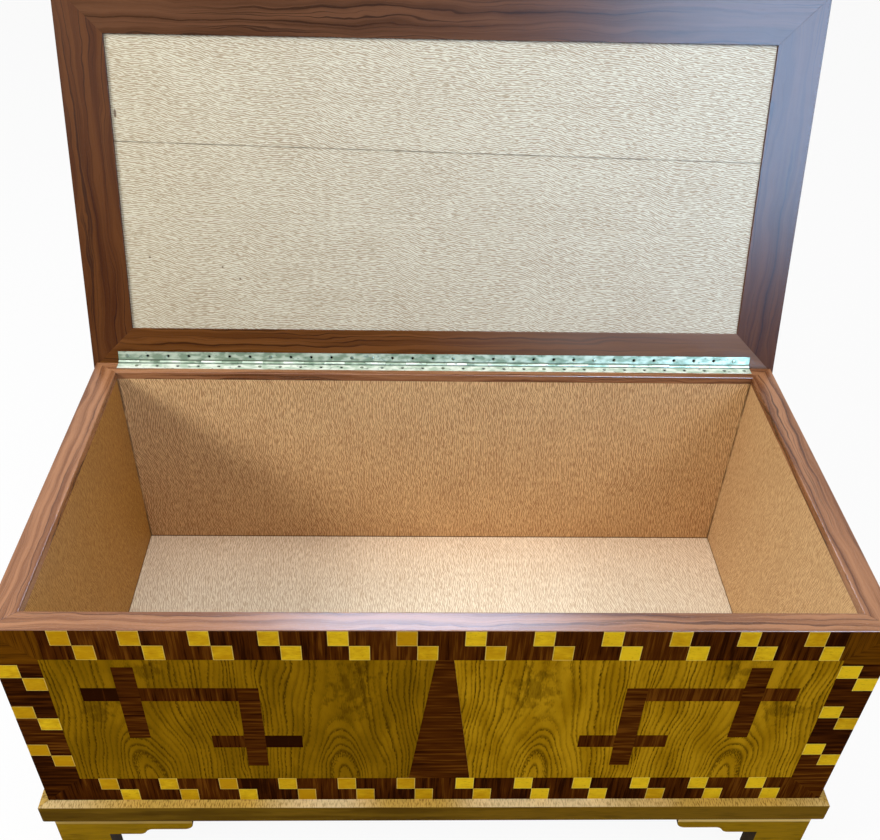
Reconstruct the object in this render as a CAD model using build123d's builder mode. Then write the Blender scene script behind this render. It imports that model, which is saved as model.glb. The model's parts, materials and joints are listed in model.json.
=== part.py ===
from build123d import *
from math import cos, floor, radians, sin, tan
import os

# A dowry chest: a veneered box on a moulded base with bracket feet, and a framed lid on a
# piano hinge, shown with the lid open.  Millimetres, +Z up, +Y towards the back of the chest.
# The origin is on the floor, in the middle of the room that the open chest takes up.

# ---- the box -------------------------------------------------------------------------------
chest_width = 1000.0  # end to end, over the veneer
chest_depth = 493.0  # front to back, over the veneer
wall_height = 338.0  # from the base moulding up to the top of the rim
front_wall = 26.0  # whole wall: veneer, board and lining
back_wall = 23.0
side_wall = 33.0
veneer = 1.0
lining = 4.0
floor_lining = 2.0
lining_play = 0.5  # between the floor's lining and the linings of the walls
rim_thickness = 12.0
rim_lip = 1.5  # the part of the rim that covers the top edge of the veneer
rim_edge_radius = 1.5
bottom_board = 12.0

# ---- the base moulding and the feet ----------------------------------------------------------
moulding_height = 40.0
moulding_projection = 11.0  # past the veneer
moulding_inside = 45.0  # from the veneer's face to the inner edge of the base frame
moulding_round = 10.0
moulding_edge_radius = 1.5
board_seat = 20.0  # from the veneer's face to the rebate that the bottom board lies in
board_play = 0.5
foot_height = 113.0
foot_projection = 2.0  # past the veneer
foot_thickness = 28.0
foot_round = 8.0
foot_leg = 66.0
foot_drop = 41.0  # depth of the bracket beside the leg
foot_drop_end = 106.0  # from the corner to the start of the bracket's curve
foot_wing = 29.0  # depth of the bracket's outer part
foot_wing_start = 125.0
foot_length = 179.0
foot_end_radius = 12.0
block_side = 24.0
block_lift = 20.0  # the glue blocks stop short of the floor

# ---- the lid ---------------------------------------------------------------------------------
open_angle = 105.9
lid_front_overhang = 18.0
lid_side_overhang = 6.0
lid_back_overhang = 11.0  # behind the hinge pin
lid_frame_width = 62.0
lid_frame_thickness = 25.0
lid_recess = 3.0  # how far the lining lies below the frame's face
lid_tongue = 10.0  # how far the core board reaches into the frame
back_lining_board = 154.0
middle_lining_board = 102.0
seam_tilt = 1.1  # degrees; the lining boards are sawn slightly out of square
board_joint = 0.3

# ---- the piano hinge -------------------------------------------------------------------------
closing_gap = 1.0  # between the closed lid and the rim
pin_offset = 3.0  # the pin stands this far behind the box
pin_radius = 1.25
pin_play = 0.05
barrel_radius = 2.4
barrel_play = 0.4
knuckle_count = 31
knuckle_sides = 12  # knuckles, holes and screws are so small that a few flats make them round
knuckle_play = 0.4
leaf_width = 15.5  # from the pin's axis to the leaf's edge
leaf_thickness = 1.0
leaf_play = 0.2
hinge_end = 31.5  # from the end of the box to the end of the hinge
screw_pitch = 30.0
hole_setback = 8.8  # from the pin's axis
hole_radius = 1.7
upper_hole_start = 13.0  # from the hinge's left end
lower_hole_start = 28.0
upper_screw_numbers = (0, 7, 11, 12, 16, 23, 30)  # the holes that hold a screw
lower_screw_numbers = (0, 6, 11, 15, 20, 30)
screw_radius = 1.5
screw_head_radius = 2.6
hole_sides = 8
head_sides = 12
screw_head_height = 0.4
screw_length = 10.0
pilot_play = 0.1

# ---- the marquetry ---------------------------------------------------------------------------
square = 24.8  # width of a pale square across its border, which is two squares wide
square_length = 23.2  # and along the border
top_pitch = 75.4  # from one pair of squares to the next along the top
bottom_pitch = 74.9  # along the bottom
side_pitch = 76.8  # and up the sides
top_run_shift = 6.4  # how far each run of squares lies off the middle of its border
bottom_run_shift = 7.2
side_run_shift = -9.1
glue_line = 0.2
wedge_top = 20.0
wedge_bottom = 77.0
bar = 25.0
motif_margin = 35.9  # from the field's outer edge to the outer end of a key motif
motif_width = 247.0
upright_setback = 41.0  # from the motif's outer end to its upright bar
upright_drop = 13.0  # from the top of the field to the top of the upright bar
upright_length = 136.0
hook_setback = 177.5  # from the motif's outer end to the hook
hook_drop = 51.0  # from the top of the field to the top of the hook and the long level bar
hook_lift = 28.4  # from the bottom of the field to the end of the hook
foot_bar_setback = 138.5  # from the motif's outer end to the short level bar
foot_bar_lift = 67.9  # from the bottom of the field to the short level bar

os.makedirs("parts", exist_ok=True)

# ---- places that follow from the sizes ---------------------------------------------------------
half_width = chest_width / 2
base_top = foot_height + moulding_height
rim_top = base_top + wall_height
rim_bottom = rim_top - rim_thickness
veneer_top = rim_top - rim_lip
border = 2 * square

pin_rise = closing_gap / 2
lid_front_reach = chest_depth + pin_offset + lid_front_overhang
lid_half_width = half_width + lid_side_overhang
lid_top = pin_rise + lid_frame_thickness + veneer
lean = radians(open_angle)
lean_reach = lid_top * sin(lean) - lid_front_reach * cos(lean)

front_y = (moulding_projection - chest_depth - pin_offset - lean_reach) / 2
back_y = front_y + chest_depth
middle_y = (front_y + back_y) / 2
pin_y = back_y + pin_offset
pin_z = rim_top + pin_rise

# Both hinge frames have their origin on the pin, x along it, y towards the back of the closed
# chest and z up from it; the lid's frame is leant back with the lid.
box_frame = Plane(origin=(0, pin_y, pin_z), x_dir=(1, 0, 0), z_dir=(0, 0, 1))
lid_frame = Plane(origin=(0, pin_y, pin_z), x_dir=(1, 0, 0), z_dir=(0, sin(lean), cos(lean)))
hinge_half = half_width - hinge_end
knuckle_pitch = 2 * hinge_half / knuckle_count


def save(piece, name):
    """Label a finished piece and write it to its own file."""
    piece.label = name
    export_step(piece, f"parts/{name}.step")


def group(pieces):
    """Several loose pieces that share one node."""
    return Compound(children=[solid for piece in pieces for solid in piece.solids()])


def slab(plane, outline, thickness, inset=0.0):
    """A flat piece: a closed outline on a plane, drawn in a little all round, and thickened."""
    with BuildPart() as piece:
        with BuildSketch(plane):
            with BuildLine():
                Polyline(*outline, close=True)
            make_face()
            if inset > 0:
                offset(amount=-inset, kind=Kind.INTERSECTION)
        extrude(amount=thickness)
    return piece.part


def rectangle(x_low, x_high, y_low, y_high):
    """The corners of an upright rectangle, in order."""
    return [(x_low, y_low), (x_high, y_low), (x_high, y_high), (x_low, y_high)]


# ---- carcass boards ----------------------------------------------------------------------------
board_plane = Plane.XY.offset(base_top)
board_height = rim_bottom - base_top
skin_x = half_width - veneer
front_board_inside = front_y + front_wall - lining
back_board_inside = back_y - back_wall + lining
side_board_inside = half_width - side_wall + lining

save(slab(board_plane, rectangle(-skin_x, skin_x, front_y + veneer, front_board_inside), board_height),
     "carcass_front")
save(slab(board_plane, rectangle(-skin_x, skin_x, back_board_inside, back_y - veneer), board_height),
     "carcass_back")
save(slab(board_plane, rectangle(-skin_x, -side_board_inside, front_board_inside, back_board_inside),
          board_height), "carcass_left")
save(slab(board_plane, rectangle(side_board_inside, skin_x, front_board_inside, back_board_inside),
          board_height), "carcass_right")

bottom_outline = rectangle(
    -half_width + board_seat + board_play,
    half_width - board_seat - board_play,
    front_y + board_seat + board_play,
    back_y - board_seat - board_play,
)
save(slab(Plane.XY.offset(base_top - bottom_board), bottom_outline, bottom_board), "bottom_board")

# ---- linings -----------------------------------------------------------------------------------
inside_x = half_width - side_wall
inside_front = front_y + front_wall
inside_back = back_y - back_wall

save(slab(board_plane, rectangle(-inside_x, inside_x, inside_front, inside_back), floor_lining,
          lining_play), "lining_floor")
save(slab(board_plane,
          rectangle(-side_board_inside, -inside_x, front_board_inside, back_board_inside),
          board_height), "lining_left")
save(slab(board_plane,
          rectangle(inside_x, side_board_inside, front_board_inside, back_board_inside),
          board_height), "lining_right")
save(slab(board_plane, rectangle(-inside_x, inside_x, front_board_inside, inside_front),
          board_height), "lining_front")
save(slab(board_plane, rectangle(-inside_x, inside_x, inside_back, back_board_inside),
          board_height), "lining_back")


# ---- rim: four mitred strips, rebated over the veneer and softened along the inner edge ------------
rim_outer = rectangle(-half_width, half_width, front_y, back_y)
rim_seat = rectangle(-skin_x, skin_x, front_y + veneer, back_y - veneer)
rim_inner = rectangle(-inside_x, inside_x, inside_front, inside_back)
leaf_rebate = rectangle(
    -hinge_half - leaf_play, hinge_half + leaf_play, -leaf_width - leaf_play, -pin_offset
)


def hole_places(start, chosen=None):
    """Places of the screw holes along a leaf, in a hinge frame."""
    count = floor((2 * hinge_half - start - screw_head_radius) / screw_pitch) + 1
    indexes = range(count) if chosen is None else [i for i in chosen if i < count]
    return [(-hinge_half + start + i * screw_pitch, -hole_setback) for i in indexes]


def rim_strip(side):
    """One strip of the rim, between two corners of the outer and the inner outline."""
    after = (side + 1) % 4
    outline = [rim_outer[side], rim_outer[after], rim_inner[after], rim_inner[side]]
    with BuildPart() as strip:
        with BuildSketch(Plane.XY.offset(rim_bottom)):
            with BuildLine():
                Polyline(*outline, close=True)
            make_face()
        extrude(amount=rim_thickness)
        with BuildSketch(Plane.XY.offset(rim_bottom)):
            for corners, mode in ((rim_outer, Mode.ADD), (rim_seat, Mode.SUBTRACT)):
                with BuildLine():
                    Polyline(*corners, close=True)
                make_face(mode=mode)
        extrude(amount=rim_thickness - rim_lip, mode=Mode.SUBTRACT)
        middle = Vector(0, middle_y, rim_top)
        upper_edges = strip.edges().group_by(Axis.Z)[-1]
        fillet(upper_edges.sort_by(lambda edge: (edge.center() - middle).length)[0], rim_edge_radius)
    return strip


save(rim_strip(0).part, "rim_front")
save(rim_strip(1).part, "rim_right")
save(rim_strip(3).part, "rim_left")

with BuildPart() as rim_back:
    add(rim_strip(2).part)
    with BuildSketch(box_frame.offset(-pin_rise)):
        with BuildLine():
            Polyline(*leaf_rebate, close=True)
        make_face()
    extrude(amount=-leaf_thickness, mode=Mode.SUBTRACT)
    with BuildSketch(box_frame.offset(-pin_rise)):
        with Locations(*hole_places(lower_hole_start, lower_screw_numbers)):
            RegularPolygon(screw_radius + pilot_play, hole_sides)
    extrude(amount=-screw_length, mode=Mode.SUBTRACT)
save(rim_back.part, "rim_back")


# ---- base moulding: a mitred frame with a ledge, a rounded foot and a rebate for the board --------
base_outer = rectangle(
    -half_width - moulding_projection,
    half_width + moulding_projection,
    front_y - moulding_projection,
    back_y + moulding_projection,
)
base_inner = rectangle(
    -half_width + moulding_inside,
    half_width - moulding_inside,
    front_y + moulding_inside,
    back_y - moulding_inside,
)


def moulding_length(side, face_point, inward):
    """One length of the base moulding; inward points from the veneer's face into the chest."""
    section_plane = Plane(origin=face_point, x_dir=inward, z_dir=Vector(inward).cross(Vector(0, 0, 1)))
    after = (side + 1) % 4
    with BuildPart() as length:
        with BuildSketch(section_plane):
            with BuildLine():
                Polyline(
                    (-moulding_projection, foot_height + moulding_round),
                    (-moulding_projection, base_top - moulding_edge_radius),
                )
                RadiusArc(
                    (-moulding_projection, base_top - moulding_edge_radius),
                    (-moulding_projection + moulding_edge_radius, base_top),
                    moulding_edge_radius,
                )
                Polyline(
                    (-moulding_projection + moulding_edge_radius, base_top),
                    (board_seat, base_top),
                    (board_seat, base_top - bottom_board),
                    (moulding_inside, base_top - bottom_board),
                    (moulding_inside, foot_height),
                    (-moulding_projection + moulding_round, foot_height),
                )
                RadiusArc(
                    (-moulding_projection + moulding_round, foot_height),
                    (-moulding_projection, foot_height + moulding_round),
                    moulding_round,
                )
            make_face()
        extrude(amount=chest_width, both=True)
        with BuildSketch(Plane.XY.offset(foot_height)):
            with BuildLine():
                Polyline(
                    base_outer[side], base_outer[after], base_inner[after], base_inner[side], close=True
                )
            make_face()
        extrude(amount=moulding_height, mode=Mode.INTERSECT)
    return length


save(moulding_length(0, (0, front_y, 0), (0, 1, 0)).part, "base_moulding_front")
save(moulding_length(1, (half_width, middle_y, 0), (-1, 0, 0)).part, "base_moulding_right")
save(moulding_length(2, (0, back_y, 0), (0, -1, 0)).part, "base_moulding_back")
save(moulding_length(3, (-half_width, middle_y, 0), (1, 0, 0)).part, "base_moulding_left")


# ---- bracket feet: two mitred brackets and a glue block at each corner ------------------------------
curve_middle = (
    (foot_drop_end + foot_wing_start) / 2,
    foot_height - (foot_drop + foot_wing) / 2,
)


def foot_bracket(corner, run, inward):
    """A bracket from the outer corner of a foot; run points along its face, inward into the foot."""
    run, inward, up = Vector(*run), Vector(*inward), Vector(0, 0, 1)
    with BuildPart() as bracket:
        with BuildSketch(Plane(origin=corner, x_dir=inward, z_dir=inward.cross(up))):
            with BuildLine():
                Polyline(
                    (0, foot_height - foot_round),
                    (0, 0),
                    (foot_thickness, 0),
                    (foot_thickness, foot_height),
                    (foot_round, foot_height),
                )
                RadiusArc((foot_round, foot_height), (0, foot_height - foot_round), -foot_round)
            make_face()
        extrude(amount=foot_length, both=True)
        with BuildSketch(Plane(origin=corner, x_dir=run, z_dir=run.cross(up))):
            with BuildLine():
                Polyline(
                    (foot_drop_end, foot_height - foot_drop),
                    (foot_leg, foot_height - foot_drop),
                    (foot_leg, 0),
                    (0, 0),
                    (0, foot_height),
                    (foot_length, foot_height),
                    (foot_length, foot_height - foot_wing + foot_end_radius),
                )
                RadiusArc(
                    (foot_length, foot_height - foot_wing + foot_end_radius),
                    (foot_length - foot_end_radius, foot_height - foot_wing),
                    foot_end_radius,
                )
                Line(
                    (foot_length - foot_end_radius, foot_height - foot_wing),
                    (foot_wing_start, foot_height - foot_wing),
                )
                TangentArc((foot_wing_start, foot_height - foot_wing), curve_middle, tangent=(-1, 0))
                TangentArc((foot_drop_end, foot_height - foot_drop), curve_middle, tangent=(1, 0))
            make_face()
        extrude(amount=foot_thickness, both=True, mode=Mode.INTERSECT)
        with BuildSketch(Plane(origin=corner, x_dir=run, z_dir=run.cross(inward))):
            with BuildLine():
                Polyline(
                    (0, 0),
                    (foot_length, 0),
                    (foot_length, foot_thickness),
                    (foot_thickness, foot_thickness),
                    close=True,
                )
            make_face()
        extrude(amount=foot_height, both=True, mode=Mode.INTERSECT)
    return bracket


glue_blocks = []
for end, to_end in (("left", -1), ("right", 1)):
    for face, to_face in (("front", -1), ("back", 1)):
        corner_x = to_end * (half_width + foot_projection)
        corner_y = (front_y if face == "front" else back_y) + to_face * foot_projection
        corner = (corner_x, corner_y, 0)
        along_x = (-to_end, 0, 0)
        along_y = (0, -to_face, 0)
        save(foot_bracket(corner, along_x, along_y).part, f"foot_{face}_{end}_long")
        save(foot_bracket(corner, along_y, along_x).part, f"foot_{face}_{end}_short")
        near_x = corner_x - to_end * foot_thickness
        near_y = corner_y - to_face * foot_thickness
        far_x = near_x - to_end * block_side
        far_y = near_y - to_face * block_side
        glue_blocks.append(
            slab(
                Plane.XY.offset(block_lift),
                rectangle(min(near_x, far_x), max(near_x, far_x), min(near_y, far_y), max(near_y, far_y)),
                foot_height - block_lift,
            )
        )
save(group(glue_blocks), "foot_glue_blocks")


# ---- marquetry ---------------------------------------------------------------------------------
skin_height = veneer_top - base_top


def border_run(length, pitch, shift, outer_first):
    """The dark pieces and pale squares of one side of a border.

    A point is (distance along the run, distance in from the outer edge).  The squares stand in
    pairs that touch corner to corner, so each dark piece between two pairs has a step at each end.
    """
    count = floor((length - 2 * border - 2 * square_length - 2 * abs(shift)) / pitch) + 1
    start = (length - (count - 1) * pitch - 2 * square_length) / 2 + shift
    near, far = (0, border) if outer_first else (border, 0)
    starts = [start + i * pitch for i in range(count)]
    squares = []
    for s in starts:
        middle, end = s + square_length, s + 2 * square_length
        squares.append([(s, near), (middle, near), (middle, square), (s, square)])
        squares.append([(middle, square), (end, square), (end, far), (middle, far)])
    dark = []
    before, after = [(near, near)], [(far, far)]
    for s in starts:
        middle, end = s + square_length, s + 2 * square_length
        dark.append(before + [(s, near), (s, square), (middle, square), (middle, far)] + after)
        before = [(middle, square), (middle, near)]
        after = [(end, far), (end, square)]
    dark.append(before + [(length - near, near), (length - far, far)] + after)
    return dark, squares


def plain_run(length):
    """One side of a border without squares."""
    return [[(0, 0), (length, 0), (length - border, border), (border, border)]], []


def key_motif(outer_end, direction):
    """The bars of one key motif; direction is 1 when its upright bar stands on the left."""
    top = skin_height / 2 - border
    upright_top = top - upright_drop
    hook_top = top - hook_drop
    foot_bar = -top + foot_bar_lift
    spans = (
        (upright_setback, upright_setback + bar, upright_top - upright_length, upright_top),
        (0, upright_setback, hook_top - bar, hook_top),
        (upright_setback + bar, hook_setback, hook_top - bar, hook_top),
        (hook_setback, hook_setback + bar, -top + hook_lift, hook_top),
        (foot_bar_setback, hook_setback, foot_bar, foot_bar + bar),
        (hook_setback + bar, motif_width, foot_bar, foot_bar + bar),
    )
    return [
        rectangle(outer_end + direction * near, outer_end + direction * far, low, high)
        for near, far, low, high in spans
    ]


def field_sheet(plane, outline, bars):
    """A field of straw-coloured veneer with openings cut for its bars."""
    with BuildPart() as sheet:
        with BuildSketch(plane):
            with BuildLine():
                Polyline(*outline, close=True)
            make_face()
            offset(amount=-glue_line / 2, kind=Kind.INTERSECTION)
            for bar_outline in bars:
                with BuildLine():
                    Polyline(*bar_outline, close=True)
                make_face(mode=Mode.SUBTRACT)
        extrude(amount=-veneer)
    return sheet.part


def inlay(plane, outlines):
    """One piece of veneer for each outline, with a glue line between neighbours."""
    return group([slab(plane, outline, -veneer, glue_line / 2) for outline in outlines])


def marquetry(name, plane, width, height, runs, paired):
    """Dress one panel; the plane's origin is the middle of the panel's outer face.

    A paired panel has a field on each side of a wedge, and a plain one has a single field.
    """
    u, v = width / 2, height / 2
    placements = (
        lambda s, t: (-u + s, v - t),
        lambda s, t: (-u + s, -v + t),
        lambda s, t: (-u + t, v - s),
        lambda s, t: (u - t, v - s),
    )
    dark, pale = [], []
    for (run_dark, run_pale), place in zip(runs, placements):
        dark += [[place(s, t) for s, t in outline] for outline in run_dark]
        pale += [[place(s, t) for s, t in outline] for outline in run_pale]
    save(inlay(plane, dark), f"{name}_border")
    if pale:
        save(inlay(plane, pale), f"{name}_squares")
    left, right, low, high = -u + border, u - border, -v + border, v - border
    if paired:
        bars = [key_motif(left + motif_margin, 1), key_motif(right - motif_margin, -1)]
        wedge_outline = [
            (-wedge_top / 2, high),
            (wedge_top / 2, high),
            (wedge_bottom / 2, low),
            (-wedge_bottom / 2, low),
        ]
        save(inlay(plane, [wedge_outline]), f"{name}_wedge")
        fields = [
            [(left, high), (-wedge_top / 2, high), (-wedge_bottom / 2, low), (left, low)],
            [(wedge_top / 2, high), (right, high), (right, low), (wedge_bottom / 2, low)],
        ]
    else:
        bars = [key_motif(-motif_width / 2, 1)]
        fields = [rectangle(left, right, low, high)]
    save(inlay(plane, [outline for motif in bars for outline in motif]), f"{name}_bars")
    save(group([field_sheet(plane, outline, motif) for outline, motif in zip(fields, bars)]),
         f"{name}_fields")


panel_middle = base_top + skin_height / 2
side_depth = chest_depth - 2 * veneer
front_panel = Plane(origin=(0, front_y, panel_middle), x_dir=(1, 0, 0), z_dir=(0, -1, 0))
left_panel = Plane(origin=(-half_width, middle_y, panel_middle), x_dir=(0, -1, 0), z_dir=(-1, 0, 0))
right_panel = Plane(origin=(half_width, middle_y, panel_middle), x_dir=(0, 1, 0), z_dir=(1, 0, 0))

marquetry(
    "front",
    front_panel,
    chest_width,
    skin_height,
    (
        border_run(chest_width, top_pitch, top_run_shift, True),
        border_run(chest_width, bottom_pitch, bottom_run_shift, False),
        border_run(skin_height, side_pitch, side_run_shift, True),
        border_run(skin_height, side_pitch, side_run_shift, False),
    ),
    True,
)
for name, panel in (("left", left_panel), ("right", right_panel)):
    marquetry(
        name,
        panel,
        side_depth,
        skin_height,
        (plain_run(side_depth), plain_run(side_depth), plain_run(skin_height), plain_run(skin_height)),
        False,
    )

save(slab(Plane.XZ.offset(-back_y), rectangle(-half_width, half_width, base_top, veneer_top), veneer),
     "back_veneer")


# ---- the lid: a mitred frame round a core board, lined beneath and dressed above ---------------------
lid_outer = rectangle(-lid_half_width, lid_half_width, -lid_front_reach, lid_back_overhang)
opening_x = lid_half_width - lid_frame_width
opening_front = -lid_front_reach + lid_frame_width
opening_back = lid_back_overhang - lid_frame_width
lid_opening = rectangle(-opening_x, opening_x, opening_front, opening_back)
seat_outline = rectangle(
    -opening_x - lid_tongue, opening_x + lid_tongue, opening_front - lid_tongue, opening_back + lid_tongue
)
seat_level = pin_rise + lid_recess + lining


def lid_member(side):
    """One mitred member of the lid's frame, rebated for the core board."""
    after = (side + 1) % 4
    with BuildPart() as member:
        with BuildSketch(lid_frame.offset(pin_rise)):
            with BuildLine():
                Polyline(lid_outer[side], lid_outer[after], lid_opening[after], lid_opening[side], close=True)
            make_face()
        extrude(amount=lid_frame_thickness)
        with BuildSketch(lid_frame.offset(seat_level)):
            with BuildLine():
                Polyline(*seat_outline, close=True)
            make_face()
        extrude(amount=lid_frame_thickness, mode=Mode.SUBTRACT)
    return member


save(lid_member(0).part, "lid_rail_front")
save(lid_member(1).part, "lid_stile_right")
save(lid_member(3).part, "lid_stile_left")

with BuildPart() as lid_rail_back:
    add(lid_member(2).part)
    with BuildSketch(lid_frame.offset(pin_rise)):
        with BuildLine():
            Polyline(
                *rectangle(-hinge_half - leaf_play, hinge_half + leaf_play, -leaf_width - leaf_play, 0),
                close=True,
            )
        make_face()
    extrude(amount=leaf_thickness, mode=Mode.SUBTRACT)
    with BuildSketch(Plane(origin=lid_frame.origin, x_dir=lid_frame.y_dir, z_dir=(1, 0, 0))):
        Circle(barrel_radius + barrel_play)
    extrude(amount=hinge_half + leaf_play, both=True, mode=Mode.SUBTRACT)
    with BuildSketch(lid_frame.offset(pin_rise)):
        with Locations(*hole_places(upper_hole_start, upper_screw_numbers)):
            RegularPolygon(screw_radius + pilot_play, hole_sides)
    extrude(amount=screw_length, mode=Mode.SUBTRACT)
save(lid_rail_back.part, "lid_rail_back")

core_outline = rectangle(
    -opening_x - lid_tongue + board_play,
    opening_x + lid_tongue - board_play,
    opening_front - lid_tongue + board_play,
    opening_back + lid_tongue - board_play,
)
save(slab(lid_frame.offset(seat_level), core_outline, pin_rise + lid_frame_thickness - seat_level),
     "lid_core")

seam_slope = tan(radians(seam_tilt))
first_seam = opening_back - back_lining_board
second_seam = first_seam - middle_lining_board
seam_rise = seam_slope * opening_x
lining_outlines = (
    [
        (-opening_x, first_seam - seam_rise),
        (opening_x, first_seam + seam_rise),
        (opening_x, opening_back),
        (-opening_x, opening_back),
    ],
    [
        (-opening_x, second_seam - seam_rise),
        (opening_x, second_seam + seam_rise),
        (opening_x, first_seam + seam_rise),
        (-opening_x, first_seam - seam_rise),
    ],
    [
        (-opening_x, opening_front),
        (opening_x, opening_front),
        (opening_x, second_seam + seam_rise),
        (-opening_x, second_seam - seam_rise),
    ],
)
save(group([slab(lid_frame.offset(pin_rise + lid_recess), outline, lining, board_joint / 2)
            for outline in lining_outlines]), "lid_lining")

lid_depth = lid_front_reach + lid_back_overhang
lid_panel = Plane(
    origin=lid_frame.from_local_coords((0, (lid_back_overhang - lid_front_reach) / 2, lid_top)),
    x_dir=lid_frame.x_dir,
    z_dir=lid_frame.z_dir,
)
marquetry(
    "lid",
    lid_panel,
    2 * lid_half_width,
    lid_depth,
    (
        border_run(2 * lid_half_width, top_pitch, 0, True),
        border_run(2 * lid_half_width, top_pitch, 0, False),
        border_run(lid_depth, side_pitch, 0, True),
        border_run(lid_depth, side_pitch, 0, False),
    ),
    True,
)


# ---- the piano hinge: two leaves whose knuckles alternate along one pin -----------------------------
def hinge_leaf(frame, level, first_knuckle, hole_start):
    """A leaf whose lower face lies at a level of its hinge frame."""
    with BuildPart() as leaf:
        with BuildSketch(frame.offset(level)):
            with BuildLine():
                Polyline(
                    *rectangle(-hinge_half, hinge_half, -leaf_width, -barrel_radius - barrel_play),
                    close=True,
                )
            make_face()
            with Locations(*hole_places(hole_start)):
                RegularPolygon(hole_radius, hole_sides, mode=Mode.SUBTRACT)
        extrude(amount=leaf_thickness)
        knuckle_starts = [
            -hinge_half + i * knuckle_pitch + knuckle_play / 2
            for i in range(first_knuckle, knuckle_count, 2)
        ]
        sections = [
            Plane(origin=frame.from_local_coords((x, 0, 0)), x_dir=frame.y_dir, z_dir=frame.x_dir)
            for x in knuckle_starts
        ]
        with BuildSketch(*sections):
            RegularPolygon(barrel_radius, knuckle_sides)
            with BuildLine():
                Polyline(
                    *rectangle(-barrel_radius - barrel_play, 0, level, level + leaf_thickness),
                    close=True,
                )
            make_face()
            RegularPolygon(pin_radius + pin_play, knuckle_sides, major_radius=False, mode=Mode.SUBTRACT)
        extrude(amount=knuckle_pitch - knuckle_play)
    return leaf


def hinge_screws(frame, level, direction, start, chosen):
    """Round-headed screws through the chosen holes; direction is the way they are driven."""
    with BuildPart() as screws:
        with BuildSketch(frame.offset(level)):
            with Locations(*hole_places(start, chosen)):
                RegularPolygon(screw_head_radius, head_sides)
        extrude(amount=-direction * screw_head_height)
        with BuildSketch(frame.offset(level)):
            with Locations(*hole_places(start, chosen)):
                RegularPolygon(screw_radius, hole_sides)
        extrude(amount=direction * (screw_length - pilot_play))
    return screws


save(hinge_leaf(box_frame, -pin_rise - leaf_thickness, 0, lower_hole_start).part, "hinge_leaf_lower")
save(hinge_leaf(lid_frame, pin_rise, 1, upper_hole_start).part, "hinge_leaf_upper")
save(hinge_screws(box_frame, -pin_rise, -1, lower_hole_start, lower_screw_numbers).part, "hinge_screws_lower")
save(hinge_screws(lid_frame, pin_rise, 1, upper_hole_start, upper_screw_numbers).part, "hinge_screws_upper")

with BuildPart() as hinge_pin:
    with BuildSketch(Plane(origin=box_frame.origin, x_dir=(0, 1, 0), z_dir=(1, 0, 0))):
        Circle(pin_radius)
    extrude(amount=hinge_half, both=True)
save(hinge_pin.part, "hinge_pin")

print("parts written:", len(os.listdir("parts")))
print("origin behind the front of the box:", round(-front_y, 3))
print("pin height and place:", round(pin_z, 3), round(pin_y, 3))
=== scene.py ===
# %% [markdown]
# # A dowry chest with its lid open
#
# The chest is a veneered box on a moulded base.  Its shape is already settled as a set of solid
# pieces, so this lesson only dresses them: it gives each wood its grain, softens the edges that
# hands and polish have rounded, and builds the hinge finely.  Lengths are in metres, with X
# along the front, Y towards the back and Z up.

# %% Load the fixed pieces
import json
import math
import random

import bmesh
import bpy
from mathutils import Matrix, Vector

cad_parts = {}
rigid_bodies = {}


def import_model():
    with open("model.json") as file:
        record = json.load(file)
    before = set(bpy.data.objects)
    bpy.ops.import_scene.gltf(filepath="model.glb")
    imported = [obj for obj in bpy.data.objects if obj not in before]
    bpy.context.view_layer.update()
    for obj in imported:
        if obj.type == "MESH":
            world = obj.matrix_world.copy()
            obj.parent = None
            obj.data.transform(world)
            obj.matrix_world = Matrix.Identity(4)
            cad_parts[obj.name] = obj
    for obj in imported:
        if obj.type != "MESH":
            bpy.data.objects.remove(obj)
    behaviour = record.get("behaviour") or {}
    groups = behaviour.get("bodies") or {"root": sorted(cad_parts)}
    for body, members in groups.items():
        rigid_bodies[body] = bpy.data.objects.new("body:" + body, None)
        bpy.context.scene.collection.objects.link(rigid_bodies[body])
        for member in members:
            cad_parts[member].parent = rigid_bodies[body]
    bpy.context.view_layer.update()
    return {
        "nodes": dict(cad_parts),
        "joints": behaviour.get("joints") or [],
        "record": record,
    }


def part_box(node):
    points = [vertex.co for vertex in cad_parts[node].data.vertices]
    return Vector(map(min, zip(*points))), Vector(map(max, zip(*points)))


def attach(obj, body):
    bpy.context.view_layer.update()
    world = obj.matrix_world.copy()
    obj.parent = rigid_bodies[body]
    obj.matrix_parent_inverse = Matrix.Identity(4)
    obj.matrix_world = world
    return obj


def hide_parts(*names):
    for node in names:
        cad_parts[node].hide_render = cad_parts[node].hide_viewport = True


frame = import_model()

nodes = frame["nodes"]
print("pieces loaded:", len(nodes))

# %% [markdown]
# The lid turns about the hinge pin.  Two sets of directions describe everything that follows:
# the room's own, and the lid's, which leans back by the angle that the joint can close.

# %% Directions of the box and of the lid
MM = 0.001
RIGHT, BACK, UP = Vector((1, 0, 0)), Vector((0, 1, 0)), Vector((0, 0, 1))
hinge_joint = frame["joints"][0]
pin = Vector(hinge_joint["pos_m"])
open_angle = math.radians(hinge_joint["range_deg"][1])
lean = Matrix.Rotation(-open_angle, 3, "X")
LID_UP = lean @ -BACK
LID_OUT = lean @ UP
print("up the lid:", [round(value, 3) for value in LID_UP])

# %% [markdown]
# ## Camera
# The lens is described the way a camera is measured: a focal length in image widths and the
# point of the image that the lens points at.  A small shift moves that point off the middle.

# %% Camera
IMAGE_WIDTH, IMAGE_HEIGHT = 880, 840
FOCAL_PIXELS, LENS_POINT = 968.5, Vector((428.12, 405.66))
SENSOR_WIDTH = 36
CAMERA_PLACE, CAMERA_TURN = (-0.04959, -1.00299, 1.32700), (52.105, -1.282, -0.900)


def placed(name, data):
    """A new object in the scene that shows some data."""
    thing = bpy.data.objects.new(name, data)
    bpy.context.scene.collection.objects.link(thing)
    return thing


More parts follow.
